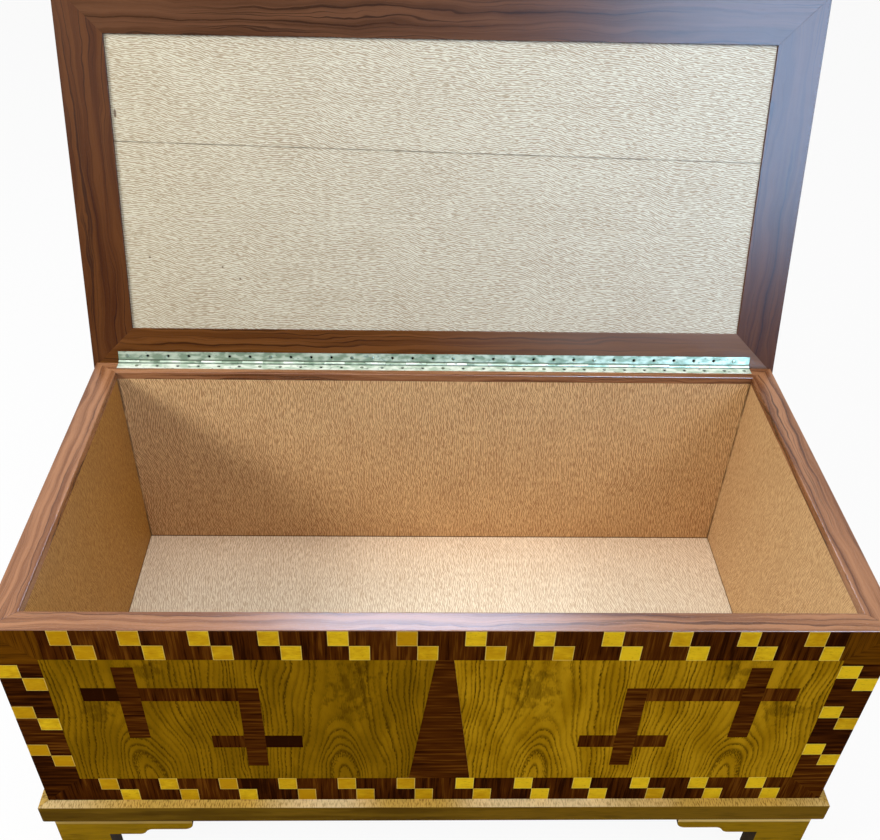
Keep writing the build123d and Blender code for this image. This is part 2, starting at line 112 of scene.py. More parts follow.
camera = placed("camera", bpy.data.cameras.new("camera"))
camera.location = CAMERA_PLACE
camera.rotation_euler = [math.radians(angle) for angle in CAMERA_TURN]
camera.data.sensor_width = SENSOR_WIDTH
camera.data.lens = FOCAL_PIXELS / IMAGE_WIDTH * SENSOR_WIDTH
camera.data.shift_x = (IMAGE_WIDTH / 2 - LENS_POINT.x) / IMAGE_WIDTH
camera.data.shift_y = (LENS_POINT.y - IMAGE_HEIGHT / 2) / IMAGE_WIDTH
bpy.context.scene.camera = camera
print("lens in mm:", round(camera.data.lens, 2))

# %% [markdown]
# ## Sockets as numbers
# Grain could be wired up by hand in the shader editor, but its maths reads best as arithmetic.
# A `Wire` stands for one output socket, and every operator on it adds the Math node that does
# the sum.  The reflected forms let a plain number stand first, as in `1 - mask`.

# %% A wire and its operators
def operator(operation, other_first=False):
    """A method that adds one Math node for a wire and another value."""

    def method(wire, other):
        values = (other, wire) if other_first else (wire, other)
        return wire.maths(operation, *values)

    return method


class Wire:
    """One output socket; an operator on it adds a Math node."""

    def __init__(self, finish, socket):
        self.finish = finish
        self.socket = socket

    def maths(self, operation, *values):
        return self.finish.node("Math", {"operation": operation}, dict(enumerate(values)))

    __add__ = operator("ADD")
    __radd__ = operator("ADD", other_first=True)
    __sub__ = operator("SUBTRACT")
    __rsub__ = operator("SUBTRACT", other_first=True)
    __mul__ = operator("MULTIPLY")
    __rmul__ = operator("MULTIPLY", other_first=True)
    __truediv__ = operator("DIVIDE")
    __pow__ = operator("POWER")
    __lt__ = operator("LESS_THAN")
    __gt__ = operator("GREATER_THAN")
    smaller = operator("MINIMUM")
    larger = operator("MAXIMUM")

    def __abs__(self):
        return self.maths("ABSOLUTE", self)

    def root(self):
        return self.maths("SQRT", self)

    def fraction(self):
        return self.maths("FRACT", self)

    def levelled(self):
        """Nearly the value itself when small, and never more than 1."""
        return self.maths("TANH", self)


print("wires ready")

# %% [markdown]
# A `Finish` holds one material while it is made.  Its `node` method takes a node's type, its
# settings and what its sockets are fed, and the other methods are the few measures that every
# wood and metal here is made of: a distance along some direction, smooth noise, a soft step, a
# blend of two colours and a bump.  Distances are in millimetres, so that the grain of every
# piece keeps its true size.

# %% A material in the making
class Finish:
    """A material while it is made; constants go straight onto the shader's own sockets."""

    def __init__(self, name, **constants):
        self.material = bpy.data.materials.new(name)
        self.material.use_nodes = True
        self.tree = self.material.node_tree
        self.shader = self.tree.nodes["Principled BSDF"]
        for socket, value in constants.items():
            self.shader.inputs[socket.replace("_", " ")].default_value = value

    def feed(self, socket, value):
        if isinstance(value, Wire):
            self.tree.links.new(value.socket, socket)
        elif socket.type == "RGBA":
            socket.default_value = (*value, 1)
        else:
            socket.default_value = value

    def node(self, kind, settings=None, inputs=None, output=0):
        made = self.tree.nodes.new("ShaderNode" + kind)
        for name, value in (settings or {}).items():
            setattr(made, name, value)
        for name, value in (inputs or {}).items():
            self.feed(made.inputs[name], value)
        return Wire(self, made.outputs[output])

    def along(self, direction, origin=pin):
        """Millimetres from the origin in one direction."""
        place = self.node("TexCoord", output="Object")
        moved = self.node("VectorMath", {"operation": "SUBTRACT"}, {0: place, 1: origin})
        return self.node("VectorMath", {"operation": "DOT_PRODUCT"},
                         {0: moved, 1: direction / MM}, "Value")

    def board(self, grain, across, origin=pin):
        """Millimetres along the grain, across the board and through it."""
        directions = (grain, across, grain.cross(across))
        return [self.along(direction, origin) for direction in directions]

    def face(self, panel):
        """Millimetres sideways and upwards from the middle of a panel."""
        return [self.along(direction, panel.centre)
                for direction in (panel.sideways, panel.upwards)]

    def noise(self, x, y, z=0.0, detail=2.0):
        """Smooth noise from 0 to 1 whose features are about one unit across."""
        place = self.node("CombineXYZ", {}, {0: x, 1: y, 2: z})
        return self.node("TexNoise", {}, {"Vector": place, "Scale": 1.0, "Detail": detail})

    def smooth(self, value, low, high):
        """0 below low, 1 above high and a smooth step between."""
        return self.node("MapRange", {"interpolation_type": "SMOOTHSTEP"},
                         {"Value": value, "From Min": low, "From Max": high}, "Result")

    def blend(self, share, first, second, how="MIX"):
        """The first colour, turning into the second as the share goes from 0 to 1."""
        return self.node("Mix", {"data_type": "RGBA", "blend_type": how},
                         {0: share, 6: first, 7: second}, 2)

    def attribute(self, name, output="Fac"):
        return self.node("Attribute", {"attribute_name": name}, {}, output)

    def bump(self, height, depth_mm):
        return self.node("Bump", {}, {"Height": height, "Distance": depth_mm * MM}, "Normal")

    def done(self, **changing):
        for socket, value in changing.items():
            self.feed(self.shader.inputs[socket.replace("_", " ")], value)
        return self.material


print("finishes can be made")

# %% [markdown]
# ## The row of screw holes
# A piano hinge has its holes at an even pitch.  Two finishes need their places: the wood under a
# leaf, where each empty hole gets a dark disc of painted shade, and the metal, darkened in its
# countersinks with painted shade and grime.  The fraction of the distance along the pin, counted
# in pitches, gives every hole at once.  Forty pitches are added so that the count never falls
# below zero, and half of one more so that each hole lies in the middle of its own pitch.

# %% Where the hinge's screw holes are
HOLE_PITCH, HOLE_SETBACK, HOLE_COUNT = 30.0, -8.8, 31
HINGE_HALF, HOLE_STARTS = 468.5, {"lower": 28.0, "upper": 13.0}
PITCHES_AHEAD = 40.5


def hole_distance(finish, away, start):
    """Millimetres from the nearest screw hole of a leaf that lies away from the pin."""
    x = finish.along(RIGHT) + (HINGE_HALF - start + HOLE_PITCH * PITCHES_AHEAD)
    aside = ((x / HOLE_PITCH).fraction() - 0.5) * HOLE_PITCH
    across = finish.along(away) - HOLE_SETBACK
    return (aside ** 2 + across ** 2).root()


print("holes start at", HOLE_STARTS)

# %% [markdown]
# ## Rosewood
# The rim and the lid's frame are rosewood with the grain running along each piece.  Growth
# rings cut by a board's face look like wandering bands and veins that never repeat.  So the
# distance across the board is bent by slow noise, and noise along that bent distance, drawn out
# thirty to a hundred times along the grain, gives broad bands, dark veins and fine streaks.
#
# Where the polish would gleam with the light of a window, a pale bluish sheen is painted into
# the colour.  This painted sheen sets in along the grain between two places, more in one streak
# than in the next.

# %% Rosewood
SHEEN_COLOUR, HOLE_SHADE = (0.24, 0.17, 0.145), (0.003, 0.002, 0.001)
HOLE_SHADE_EDGE, HINGE_END = (1.5, 2.0), 3.0
LID_GLOSS, BACK_GLOSS = 0.1, 0.05


def rosewood(name, grain, across, tones, wander, leaf=None, painted_sheen=None, **constants):
    """Polished rosewood; tones are the dark vein, the ground and the light band.

    Wander is how far the figure strays across the board, in millimetres.  A leaf is the hinge's
    leaf that covers the wood and the direction in which it lies.  A painted sheen, the gleam of a
    window painted into the colour, is the place where it sets in, the place where it is full, and
    its share."""
    finish = Finish(name, **constants)
    dark, ground, light = tones
    a, c, d = finish.board(grain, across)
    slow = finish.noise(a / 190, c / 50, d / 50)
    swirl = finish.noise(a / 48 + 7, c / 18, d / 18)
    bent = c + d * 0.7 + slow * wander + swirl * 8
    broad = finish.noise(a / 330, bent / 9, 3.0, 2)
    vein = finish.smooth(finish.noise(a / 420, bent / 3.1, 7.0, 1), 0.55, 0.69)
    fine = finish.noise(a / 60, bent / 0.8, 1.0, 2)
    pore = finish.smooth(finish.noise(a / 6, c / 0.4, d / 0.4, 1), 0.6, 0.75)
    colour = finish.blend(finish.smooth(broad + (fine - 0.5) * 0.35, 0.3, 0.68), ground, light)
    colour = finish.blend(vein * (0.4 + fine * 0.7), colour, dark)
    colour = finish.blend(finish.smooth(fine, 0.5, 0.8) * 0.3 + pore * 0.3, colour, dark)
    # Painted sheen: a pale bluish haze that stands in for a window's gleam on the polish.
    if painted_sheen:
        start, full, share = painted_sheen
        sheen = finish.smooth(a, start, full) * (0.6 + slow * 0.8) * share
        colour = finish.blend(sheen, colour, SHEEN_COLOUR)
    # Painted shade: a dark disc in the wood under each empty screw hole of the leaf.
    if leaf:
        which, away = leaf
        from_hole = hole_distance(finish, away, HOLE_STARTS[which])
        within = abs(finish.along(RIGHT)) < HINGE_HALF - HINGE_END
        hole_shade = (1 - finish.smooth(from_hole, *HOLE_SHADE_EDGE)) * within
        colour = finish.blend(hole_shade, colour, HOLE_SHADE)
    return finish.done(Base_Color=colour, Roughness=0.22 + fine * 0.08 + pore * 0.15,
                       Normal=finish.bump(fine - pore, 0.008))


print("rosewood ready")

# %% [markdown]
# The rails of the lid are darker than the rim, which has bleached to a rosy brown, and the back
# was laid with a large wild leaf.  Long and short pieces need a finish each, because the grain
# turns with the piece.  The low rail of the lid carries the most painted sheen, on its right
# half, and the stiles carry a little of it towards their tops.

# %% Rosewood of each piece
lid_tones = ((0.017, 0.004, 0.0008), (0.054, 0.0135, 0.0015), (0.096, 0.031, 0.006))
rim_tones = ((0.045, 0.013, 0.005), (0.168, 0.060, 0.021), (0.36, 0.165, 0.076))
low_tones = ((0.025, 0.007, 0.001), (0.090, 0.028, 0.004), (0.155, 0.056, 0.012))
back_tones = ((0.03, 0.011, 0.006), (0.12, 0.045, 0.02), (0.2, 0.08, 0.035))
top_tones = ((0.020, 0.007, 0.002), (0.068, 0.026, 0.010), (0.116, 0.049, 0.022))
upper_leaf, lower_leaf = ("upper", -LID_UP), ("lower", BACK)
lid_long = rosewood("rosewood_lid_long", RIGHT, LID_UP, top_tones, wander=30.0,
                    leaf=upper_leaf, Specular_IOR_Level=LID_GLOSS)
lid_low = rosewood("rosewood_lid_low", RIGHT, LID_UP, low_tones, wander=24.0,
                   leaf=upper_leaf, painted_sheen=(-60, 260, 0.45), Specular_IOR_Level=LID_GLOSS)
lid_short = rosewood("rosewood_lid_short", LID_UP, RIGHT, lid_tones, wander=40.0,
                     painted_sheen=(60, 460, 0.08), Specular_IOR_Level=LID_GLOSS)
rim_long = rosewood("rosewood_rim_long", RIGHT, BACK, rim_tones, wander=26.0, leaf=lower_leaf)
rim_short = rosewood("rosewood_rim_short", BACK, RIGHT, rim_tones, wander=26.0)
back_wood = rosewood("rosewood_back", RIGHT, UP, back_tones, wander=90.0,
                     Specular_IOR_Level=BACK_GLOSS)
print("rosewood finishes: 6")

# %% [markdown]
# ## Panels
# The marquetry repeats on the front, the ends and the lid, so each panel is described once: a
# middle, two directions that lie in it, and half its width and height.

# %% The four dressed panels
class Panel:
    """A dressed face: its middle, its two directions and its half sizes in millimetres."""

    def __init__(self, name, sideways, upwards):
        low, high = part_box(f"{name}_border")
        size = high - low
        self.name = name
        self.centre = (low + high) / 2
        self.sideways = sideways
        self.upwards = upwards
        self.half_width = abs(size.dot(sideways)) / 2 / MM
        self.half_height = abs(size.dot(upwards)) / 2 / MM


panels = [Panel("front", RIGHT, UP), Panel("left", -BACK, UP), Panel("right", BACK, UP),
          Panel("lid", RIGHT, LID_UP)]
for panel in panels:
    print(panel.name, round(panel.half_width * 2), "x", round(panel.half_height * 2), "mm")

# %% [markdown]
# ## Border, bars and wedge
# These are cut from nearly black rosewood, always with the grain across the strip, so the
# streaks run up and down in a level strip and sideways in an upright one.  At a mitred corner
# the nearer edge decides.  No two pieces come from the same leaf, so each has its own tone, kept
# in an attribute named `tone`.  The border's two upper corners have faded to a golden brown.
#
# The old polish is nearly worn away.  Seen at a low angle even a weak gloss mirrors the white of
# the room and greys dark wood, so the shader's specular level is close to nothing.

# %% Dark veneer
VENEER_GLOSS = 0.0003
INK, UMBER, RUSSET = (0.018, 0.004, 0.0006), (0.055, 0.0135, 0.0013), (0.122, 0.039, 0.004)
SUNNED, CORNER = (0.125, 0.043, 0.0018), 56.0


def dark_veneer(panel, part, side):
    """Streaked dark veneer; side(finish, u, v) is 1 where the streaks run sideways."""
    finish = Finish(f"{part}_{panel.name}", Specular_IOR_Level=VENEER_GLOSS)
    u, v = finish.face(panel)
    turned = side(finish, u, v)
    across = u + turned * (v - u)
    along = v + turned * (u - v)
    tone = finish.attribute("tone")
    fine = finish.noise(across / 0.9, along / 34, tone * 50, 3)
    broad = finish.noise(across / 4.5, along / 80, tone * 90 + 5, 2)
    level = tone * 0.5 + (fine - 0.5) + (broad - 0.5) * 2 + 0.17
    colour = finish.blend(finish.smooth(level, 0.02, 0.5), INK, UMBER)
    colour = finish.blend(finish.smooth(level, 0.5, 1.0), colour, RUSSET)
    if part == "border":
        in_corner = (abs(u) > panel.half_width - CORNER) * (v > panel.half_height - CORNER)
        colour = finish.blend(in_corner * finish.smooth(fine + broad, 0.5, 1.3), colour, SUNNED)
    return finish.done(Base_Color=colour, Roughness=0.3 + fine * 0.12,
                       Normal=finish.bump(fine, 0.008))


def border_side(panel):
    """1 in the upright strips of a border, split at its mitres."""
    return lambda finish, u, v: (panel.half_width - abs(u)) < (panel.half_height - abs(v))


def always_sideways(finish, u, v):
    """The streaks of the wedge all run sideways."""
    return 1.0


print("dark veneer ready")

# %% [markdown]
# A key motif has two upright bars, whose streaks run sideways.  They are told from the level bars
# by their distance from the end of the motif.  The front and the lid have a pair of motifs that
# mirror each other, and an end has one in its middle.

# %% Which bars stand upright
MOTIF_MARGIN, MOTIF_WIDTH, BAR = 85.5, 247.0, 25.0
UPRIGHT_STARTS = (41.0, 177.5)


def upright_bars(panel, paired):
    """1 on the upright bars of a panel's key motifs."""

    def side(finish, u, v):
        if paired:
            reach = panel.half_width - MOTIF_MARGIN - abs(u)
        else:
            reach = u + MOTIF_WIDTH / 2
        outer, inner = [(reach > start) * (reach < start + BAR) for start in UPRIGHT_STARTS]
        return outer + inner

    return side


print("upright bars start at", UPRIGHT_STARTS)

# %% [markdown]
# ## Pale squares
# The squares are satinwood, from lemon to orange-gold.  Each has a thin paler line of glue
# round it, which needs the distance from the middle of its own square: the attribute `middle`
# holds that place for every point of a piece.  In an upright strip a square is turned on its
# side, so its length and width change places.

# %% Pale squares
LEMON, AMBER, GLUE = (0.73, 0.485, 0.012), (0.44, 0.225, 0.004), (0.78, 0.64, 0.20)
SPECK = (0.26, 0.15, 0.004)
SQUARE_LENGTH, SQUARE_WIDTH = 23.0, 24.6
GLUE_EDGE = (0.2, 1.0)


def pale_veneer(panel):
    """Satinwood squares with a line of glue round each."""
    finish = Finish(f"squares_{panel.name}", Specular_IOR_Level=VENEER_GLOSS)
    u, v = finish.face(panel)
    turned = border_side(panel)(finish, u, v)
    middle = finish.attribute("middle", "Vector")
    sideways = abs(finish.along(panel.sideways, middle))
    upwards = abs(finish.along(panel.upwards, middle))
    longer = (SQUARE_WIDTH - SQUARE_LENGTH) / 2
    edge = (SQUARE_LENGTH / 2 + turned * longer - sideways).smaller(
        SQUARE_WIDTH / 2 - turned * longer - upwards)
    tone = finish.attribute("tone")
    grain = finish.noise(u / 8, v / 1.1, tone * 40, 3)
    cloud = finish.noise(u / 14, v / 9, tone * 20, 1)
    level = tone + (grain - 0.5) * 0.4 + (cloud - 0.5) * 0.6
    colour = finish.blend(finish.smooth(level, 0.1, 0.9), AMBER, LEMON)
    speck = finish.smooth(finish.noise(u / 4.5, v / 1.6, tone * 70, 2), 0.58, 0.72)
    colour = finish.blend(speck * 0.45, colour, SPECK)
    colour = finish.blend((1 - finish.smooth(edge, *GLUE_EDGE)) * 0.5, colour, GLUE)
    return finish.done(Base_Color=colour, Roughness=0.3 + grain * 0.1)


print("pale veneer ready")

# %% [markdown]
# ## Ash fields
# Each field is a leaf of ash sawn nearly through the middle of the tree, and the two fields are
# opened like a book, so the figure is the same on both sides of the wedge.  Rings are cylinders
# about the tree's heart.  A face that comes slowly nearer to the heart towards its foot cuts
# them in tall arches, and far from the heart in close straight lines.  Drawing arches one by one
# would look drawn, but here both come from one distance.

# %% How far the heart of the tree is
HEARTS, END_HEART = (363.0, 121.0), (150.0,)
ARCH_START, ARCH_DEPTH, ARCH_HEIGHT, ARCH_CURVE = 3.0, 40.0, 110.0, 1.5
BORDER = 49.6


def from_heart(finish, panel, u, v, hearts):
    """Millimetres from the heart of the tree to a point of the leaf."""
    warp = finish.noise(u / 75, v / 150, 2.0, 1)
    jitter = finish.noise(u / 16, v / 60, 6.0, 2)
    side = abs(u) + (warp - 0.5) * 30 + (jitter - 0.5) * 7
    rise = ((v + panel.half_height - BORDER) / ARCH_HEIGHT).larger(0.0) ** ARCH_CURVE
    depth = rise.levelled() * ARCH_DEPTH + ARCH_START
    nearest, *others = [((side - heart) ** 2 + depth ** 2).root() for heart in hearts]
    for other in others:
        nearest = nearest.smaller(other)
    return nearest


print("ash hearts:", HEARTS)

# %% [markdown]
# The rings are the fraction of that distance, counted in ring gaps.  Noise along the distance
# makes some rings wide and others narrow, and a calm zone lies round each arch.  A ring's line is
# open pores, so noise breaks it up.  Ragged smoky stains, torn by noise, lie over the figure.

# %% Ash with its arches
DULL_GOLD, GOLD = (0.175, 0.088, 0.0015), (0.240, 0.122, 0.0025)
HONEY, STRAW = (0.295, 0.152, 0.0025), (0.42, 0.228, 0.006)
BARK = (0.043, 0.019, 0.0007)
RING_GAP, HEART_REACH = 5.2, 16.0
CALM_REACH, ARCH_EDGE = 43.0, (26, 34)
SMOKY_PATCHES = ((104.0, 62.0, 34.0, 58.0), (400.0, 26.0, 32.0, 26.0), (334.0, 100.0, 30.0, 24.0))


def ash(panel, hearts):
    """Two leaves of ash, opened like a book, with an arch over each heart."""
    finish = Finish(f"fields_{panel.name}", Specular_IOR_Level=VENEER_GLOSS)
    u, v = finish.face(panel)
    distance = from_heart(finish, panel, u, v, hearts)
    fibre = finish.noise(u / 0.6, v / 13, 3.0, 2)
    pores = finish.noise(u / 1.1, v / 6, 8.0, 2)
    uneven = finish.noise(distance / 15, 4.0, 5.0, 1)
    wide_rings = (distance / HEART_REACH).levelled() * 1.5
    ring = (distance / RING_GAP - wide_rings + uneven * 2.6 + (pores - 0.5) * 0.6 + 9).fraction()
    line = finish.smooth(ring, 0.0, 0.2) * (1 - finish.smooth(ring, 0.26, 0.66))
    weight = finish.smooth(finish.noise(distance / 9, v / 260, 15.0, 1), 0.32, 0.6)
    weight = weight * (0.2 + finish.smooth(abs(distance - CALM_REACH), 3, 13) * 0.8)
    weight = weight.larger((1 - finish.smooth(distance, *ARCH_EDGE)) * 0.8)
    shade = finish.smooth(finish.noise(u / 30, v / 90, 5.0, 2), 0.35, 0.65)
    # Painted light: the right-hand leaf gets the paler colours.
    left_leaf = finish.blend(shade, DULL_GOLD, GOLD)
    lit_right_leaf = finish.blend(shade, HONEY, STRAW)
    colour = finish.blend(finish.attribute("tone"), left_leaf, lit_right_leaf)
    torn = (finish.noise(u / 11, v / 17, 17.0, 2) - 0.5) * 3 + (fibre - 0.5) * 0.9
    for middle, height, wide, tall in SMOKY_PATCHES:
        across = (abs(u) - middle) / wide
        upright = (v - height) / tall
        near = 0.9 - (across ** 2 + upright ** 2).root() + torn
        colour = finish.blend(finish.smooth(near, 0.0, 0.7) * (0.1 + fibre * 0.75), colour, BARK)
    ragged = finish.smooth(pores, 0.28, 0.62)
    colour = finish.blend(line * (0.28 + weight * 0.62) * (0.35 + ragged * 0.75), colour, BARK)
    colour = finish.blend(finish.smooth(fibre, 0.52, 0.75) * 0.28, colour, BARK)
    return finish.done(Base_Color=colour, Roughness=0.3 + fibre * 0.12,
                       Normal=finish.bump(line * -0.5 - fibre * 0.5, 0.01))


print("smoky stains:", len(SMOKY_PATCHES))

# %% [markdown]
# ## Lining board
# The lining is an unpolished pale board, covered with short flecks, light and dark, that lie
# roughly along the grain and lean one way here and the other way there.  Plain noise would look
# blotched, so two things are added up: noise drawn out along the grain, and even rows, like a
# weave, that slow noise bends.
#
# Light and shade on the board are painted in: its colour is multiplied by a painted tint that
# changes between two places, lighter and cooler where more light falls and darker where less does.

# %% Lining board
FLECK_GAP, WALL_FLECK, LID_FLECK = 2.7, (10.5, 2.0), (9.0, 1.2)
# Dark colour for the nail marks, and for the painted shade in the box's corners.
DIRT_AND_CORNER_SHADE = (0.07, 0.03, 0.01)
PALEST = 0.95


def flecked(name, grain, across, ground, painted_tint, contrast, tint_across=False, tilt=0.1,
            seams=(), floor_shade_level=None, marks=(), fleck=WALL_FLECK):
    """Flecked board; a seam is its place across, slope, half width, shade and strength.

    The painted tint is two places, along the grain or across it, and the tint of painted light
    at each.  A mark is a nail's place along and across, and its half sizes."""
    finish = Finish(name, Specular_IOR_Level=0.2)
    a, c = finish.along(grain), finish.along(across)
    slow = finish.noise(a / 95, c / 260, 1.0, 1)
    bent = c + a * tilt + slow * 30
    dash = finish.noise(a / fleck[0], bent / fleck[1], 2.0, 0.4)
    shift = finish.noise(a / 9, bent / 4.5, 6.0, 1)
    weave = abs((bent / FLECK_GAP + shift * 1.7).fraction() - 0.5) * 2
    band = finish.noise(a / 400, c / 4, 3.0, 2)
    cloud = finish.noise(a / 80, c / 60, 4.0, 2)
    dark = tuple(value * (1 - contrast) ** (1 + i * 0.35) for i, value in enumerate(ground))
    light = tuple(min(PALEST, value * (1 + contrast * (0.6 + i * 0.22)))
                  for i, value in enumerate(ground))
    level = dash * 0.5 + weave * 0.32 + (band - 0.5) * 0.12 + (cloud - 0.5) * 0.1 + 0.09
    colour = finish.blend(finish.smooth(level, 0.4, 0.6), light, dark)
    # Painted light: the colour is multiplied by a tint that changes between two places.
    start, end, start_tint, end_tint = painted_tint
    share = ((c if tint_across else a) - start) / (end - start)
    colour = finish.blend(1.0, colour, finish.blend(share, start_tint, end_tint), "MULTIPLY")
    patchy = finish.smooth(finish.noise(a / 70, 9.0, 3.0, 2), 0.36, 0.6)
    # A seam is a dark or pale joint line, or a line of painted shade in a corner.
    for distance, slope, half_width, shade, strength in seams:
        apart = abs(c - (a * slope + distance))
        line = 1 - finish.smooth(apart, half_width * 0.4, half_width)
        colour = finish.blend(line * strength * (0.3 + patchy * 0.7), colour, shade)
    for along_spot, across_spot, wide, tall in marks:
        spot = (((a - along_spot) / wide) ** 2 + ((c - across_spot) / tall) ** 2).root()
        colour = finish.blend((1 - finish.smooth(spot, 0.6, 1.1)) * 0.8, colour, DIRT_AND_CORNER_SHADE)
    # Painted shade along the foot of a wall, where it meets the floor.
    if floor_shade_level:
        floor_shade = 1 - finish.smooth(a - floor_shade_level, 0.8, 3.0)
        colour = finish.blend(floor_shade * 0.7, colour, DIRT_AND_CORNER_SHADE)
    return finish.done(Base_Color=colour, Roughness=0.55 + dash * 0.15,
                       Normal=finish.bump(dash, 0.05))


print("lining ready")

# %% [markdown]
# The boards of the lid meet in seams that run a little out of square.  The upper seam is dark
# with dust and the lower one still shows pale wood.  A few nails have left dark marks, and the
# corners of the box are darkened with painted shade.  Painted light makes the end walls pale at
# the front and brown at the back, the left wall darker than the right, and the lid's lining
# paler and bluer to the right, where a window's light is painted in.

# %% Lining of the lid and of the box
LID_PALE, WALL_PALE, FLOOR_PALE = (0.56, 0.505, 0.375), (0.58, 0.385, 0.175), (0.78, 0.66, 0.47)
# The end walls are lit and shaded copies of one lining: painted light.
WALL_SHADED, WALL_LIT = (0.375, 0.195, 0.046), (0.50, 0.33, 0.145)
SEAM_DUST, SEAM_PALE = (0.16, 0.13, 0.08), (0.85, 0.80, 0.68)
SEAM_SLOPE = -math.tan(math.radians(1.1))
SEAMS = ((307.0, SEAM_SLOPE, 1.3, SEAM_DUST, 0.7), (205.0, SEAM_SLOPE, 1.1, SEAM_PALE, 0.5))
NAIL_MARKS = ((-439.0, 352.0, 2.2, 6.5), (-410.0, 156.0, 1.8, 1.6), (-308.0, 143.0, 1.6, 1.6),
              (-284.0, 126.0, 1.8, 1.5))
floor_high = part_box("lining_floor")[1]
floor_level = (floor_high.z - pin.z) / MM
# Painted shade in the corners of the box, where the walls meet.
back_corner_shade = [(side * floor_high.x / MM, 0.0, 2.2, DIRT_AND_CORNER_SHADE, 0.75) for side in (-1, 1)]
side_corner_shade = [((floor_high.y - pin.y) / MM, 0.0, 2.2, DIRT_AND_CORNER_SHADE, 0.6)]
LEFT_LIGHT_TINT = (-420.0, -20.0, (1.22, 1.27, 1.5), (0.93, 0.82, 0.45))
RIGHT_LIGHT_TINT = (-420.0, -20.0, (1.18, 1.16, 1.27), (0.95, 0.87, 0.88))
LID_LIGHT_TINT = (-410.0, 410.0, (0.88, 0.87, 0.85), (1.06, 1.13, 1.27))
WALL_LIGHT_TINT = (floor_level, 0.0, (0.93, 0.81, 0.76), (1.08, 1.06, 1.12))
FLOOR_LIGHT_TINT = (-400.0, -30.0, (1.11, 1.31, 1.56), (0.91, 0.83, 0.80))
lid_lining = flecked("lining_lid", RIGHT, LID_UP, LID_PALE, LID_LIGHT_TINT, contrast=0.31, tilt=0.2,
                     seams=SEAMS, marks=NAIL_MARKS, fleck=LID_FLECK)
back_lining = flecked("lining_back", UP, RIGHT, WALL_PALE, WALL_LIGHT_TINT, contrast=0.36,
                      seams=back_corner_shade, floor_shade_level=floor_level)
left_lining = flecked("lining_left", UP, BACK, WALL_SHADED, LEFT_LIGHT_TINT, contrast=0.3,
                      tint_across=True, seams=side_corner_shade, floor_shade_level=floor_level)
right_lining = flecked("lining_right", UP, BACK, WALL_LIT, RIGHT_LIGHT_TINT, contrast=0.28,
                       tint_across=True, seams=side_corner_shade, floor_shade_level=floor_level)
floor_lining = flecked("lining_floor", BACK, RIGHT, FLOOR_PALE, FLOOR_LIGHT_TINT, contrast=0.24)
print("seams of the lid:", len(SEAMS))

# %% [markdown]
# ## Base
# The moulding and the feet are the same gold-brown wood, olive in the moulding and warmer in the
# feet, and painted light makes them lighter towards the right.  The moulding's narrow ledge is
# speckled end grain, made bright partly by painted highlight.  Just below the moulding the feet
# carry a band of painted highlight, where their rounded tops catch the light.

# %% Base wood
OLIVE, OLIVE_LIGHT, OLIVE_DARK = (0.088, 0.044, 0.002), (0.165, 0.088, 0.005), (0.04, 0.019, 0.001)
FOOT_GOLD, FOOT_HIGHLIGHT = (0.28, 0.157, 0.003), (0.76, 0.55, 0.20)
LEDGE_GOLD, LEDGE_HIGHLIGHT, LEDGE_DARK = (0.46, 0.285, 0.06), (0.62, 0.47, 0.25), (0.16, 0.085, 0.010)
HIGHLIGHT_DEPTH, HIGHLIGHT_EDGE, BASE_GLOSS = 16.0, 3.0, 0.003
LEDGE_EDGE, RIGHT_LIGHT_REACH = (-1.3, -0.4), (-100, 500)
ledge_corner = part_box("base_moulding_front")[1]
foot_top = (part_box("foot_front_left_long")[1].z - ledge_corner.z) / MM


def base_wood(name, grain, across):
    """The wood of the moulding and the feet, told apart by height."""
    finish = Finish(name, Specular_IOR_Level=BASE_GLOSS)
    a, c, height = [finish.along(way, ledge_corner) for way in (grain, across, UP)]
    slow = finish.noise(a / 130, c / 12, height / 12, 3)
    streak = finish.noise(a / 30, c / 0.8, height / 0.8, 3)
    smear = finish.smooth(finish.noise(a / 50 + 9, c / 14, height / 9, 3), 0.5, 0.72)
    on_foot = height < foot_top
    # Painted light: the wood is lighter towards the right.
    lit_right = finish.smooth(finish.along(RIGHT), *RIGHT_LIGHT_REACH) * 0.42
    colour = finish.blend(finish.smooth(slow + lit_right, 0.35, 0.75), OLIVE, OLIVE_LIGHT)
    colour = finish.blend(on_foot * (0.45 + slow + lit_right), colour, FOOT_GOLD)
    stained = finish.smooth(streak, 0.45, 0.75) * 0.45 + smear * 0.3
    colour = finish.blend(stained, colour, OLIVE_DARK)
    # Painted highlight: a pale band along the feet's rounded tops, stronger where the painted light
    # from the right falls.
    highlight_low = foot_top - HIGHLIGHT_DEPTH
    band = on_foot * finish.smooth(height, highlight_low, highlight_low + HIGHLIGHT_EDGE)
    colour = finish.blend(band * (0.35 + lit_right * 1.5), colour, FOOT_HIGHLIGHT)
    # The ledge: speckled end grain, made bright partly by painted highlight, with paler streaks of
    # painted highlight along it.
    speck = finish.smooth(finish.noise(a / 1.4, c / 7.0, 7.0, 3), 0.46, 0.62) * 0.8
    highlight_streak = finish.smooth(finish.noise(a / 240 + 2, 3.0, 7.0, 1), 0.42, 0.6)
    ledge = finish.blend(highlight_streak, LEDGE_GOLD, LEDGE_HIGHLIGHT)
    ledge = finish.blend(speck * (1 - highlight_streak * 0.45), ledge, LEDGE_DARK)
    colour = finish.blend(finish.smooth(height, *LEDGE_EDGE), colour, ledge)
    return finish.done(Base_Color=colour, Roughness=0.28 + streak * 0.12,
                       Normal=finish.bump(streak, 0.008))


base_long = base_wood("base_long", RIGHT, BACK)
base_short = base_wood("base_short", BACK, RIGHT)
print("ledge height in mm:", round(ledge_corner.z / MM))

# %% [markdown]
# The inner faces of the feet never saw polish, and they lie in shade.  Their finish is raw wood
# darkened with painted shade, nearly black, with hardly any shine.

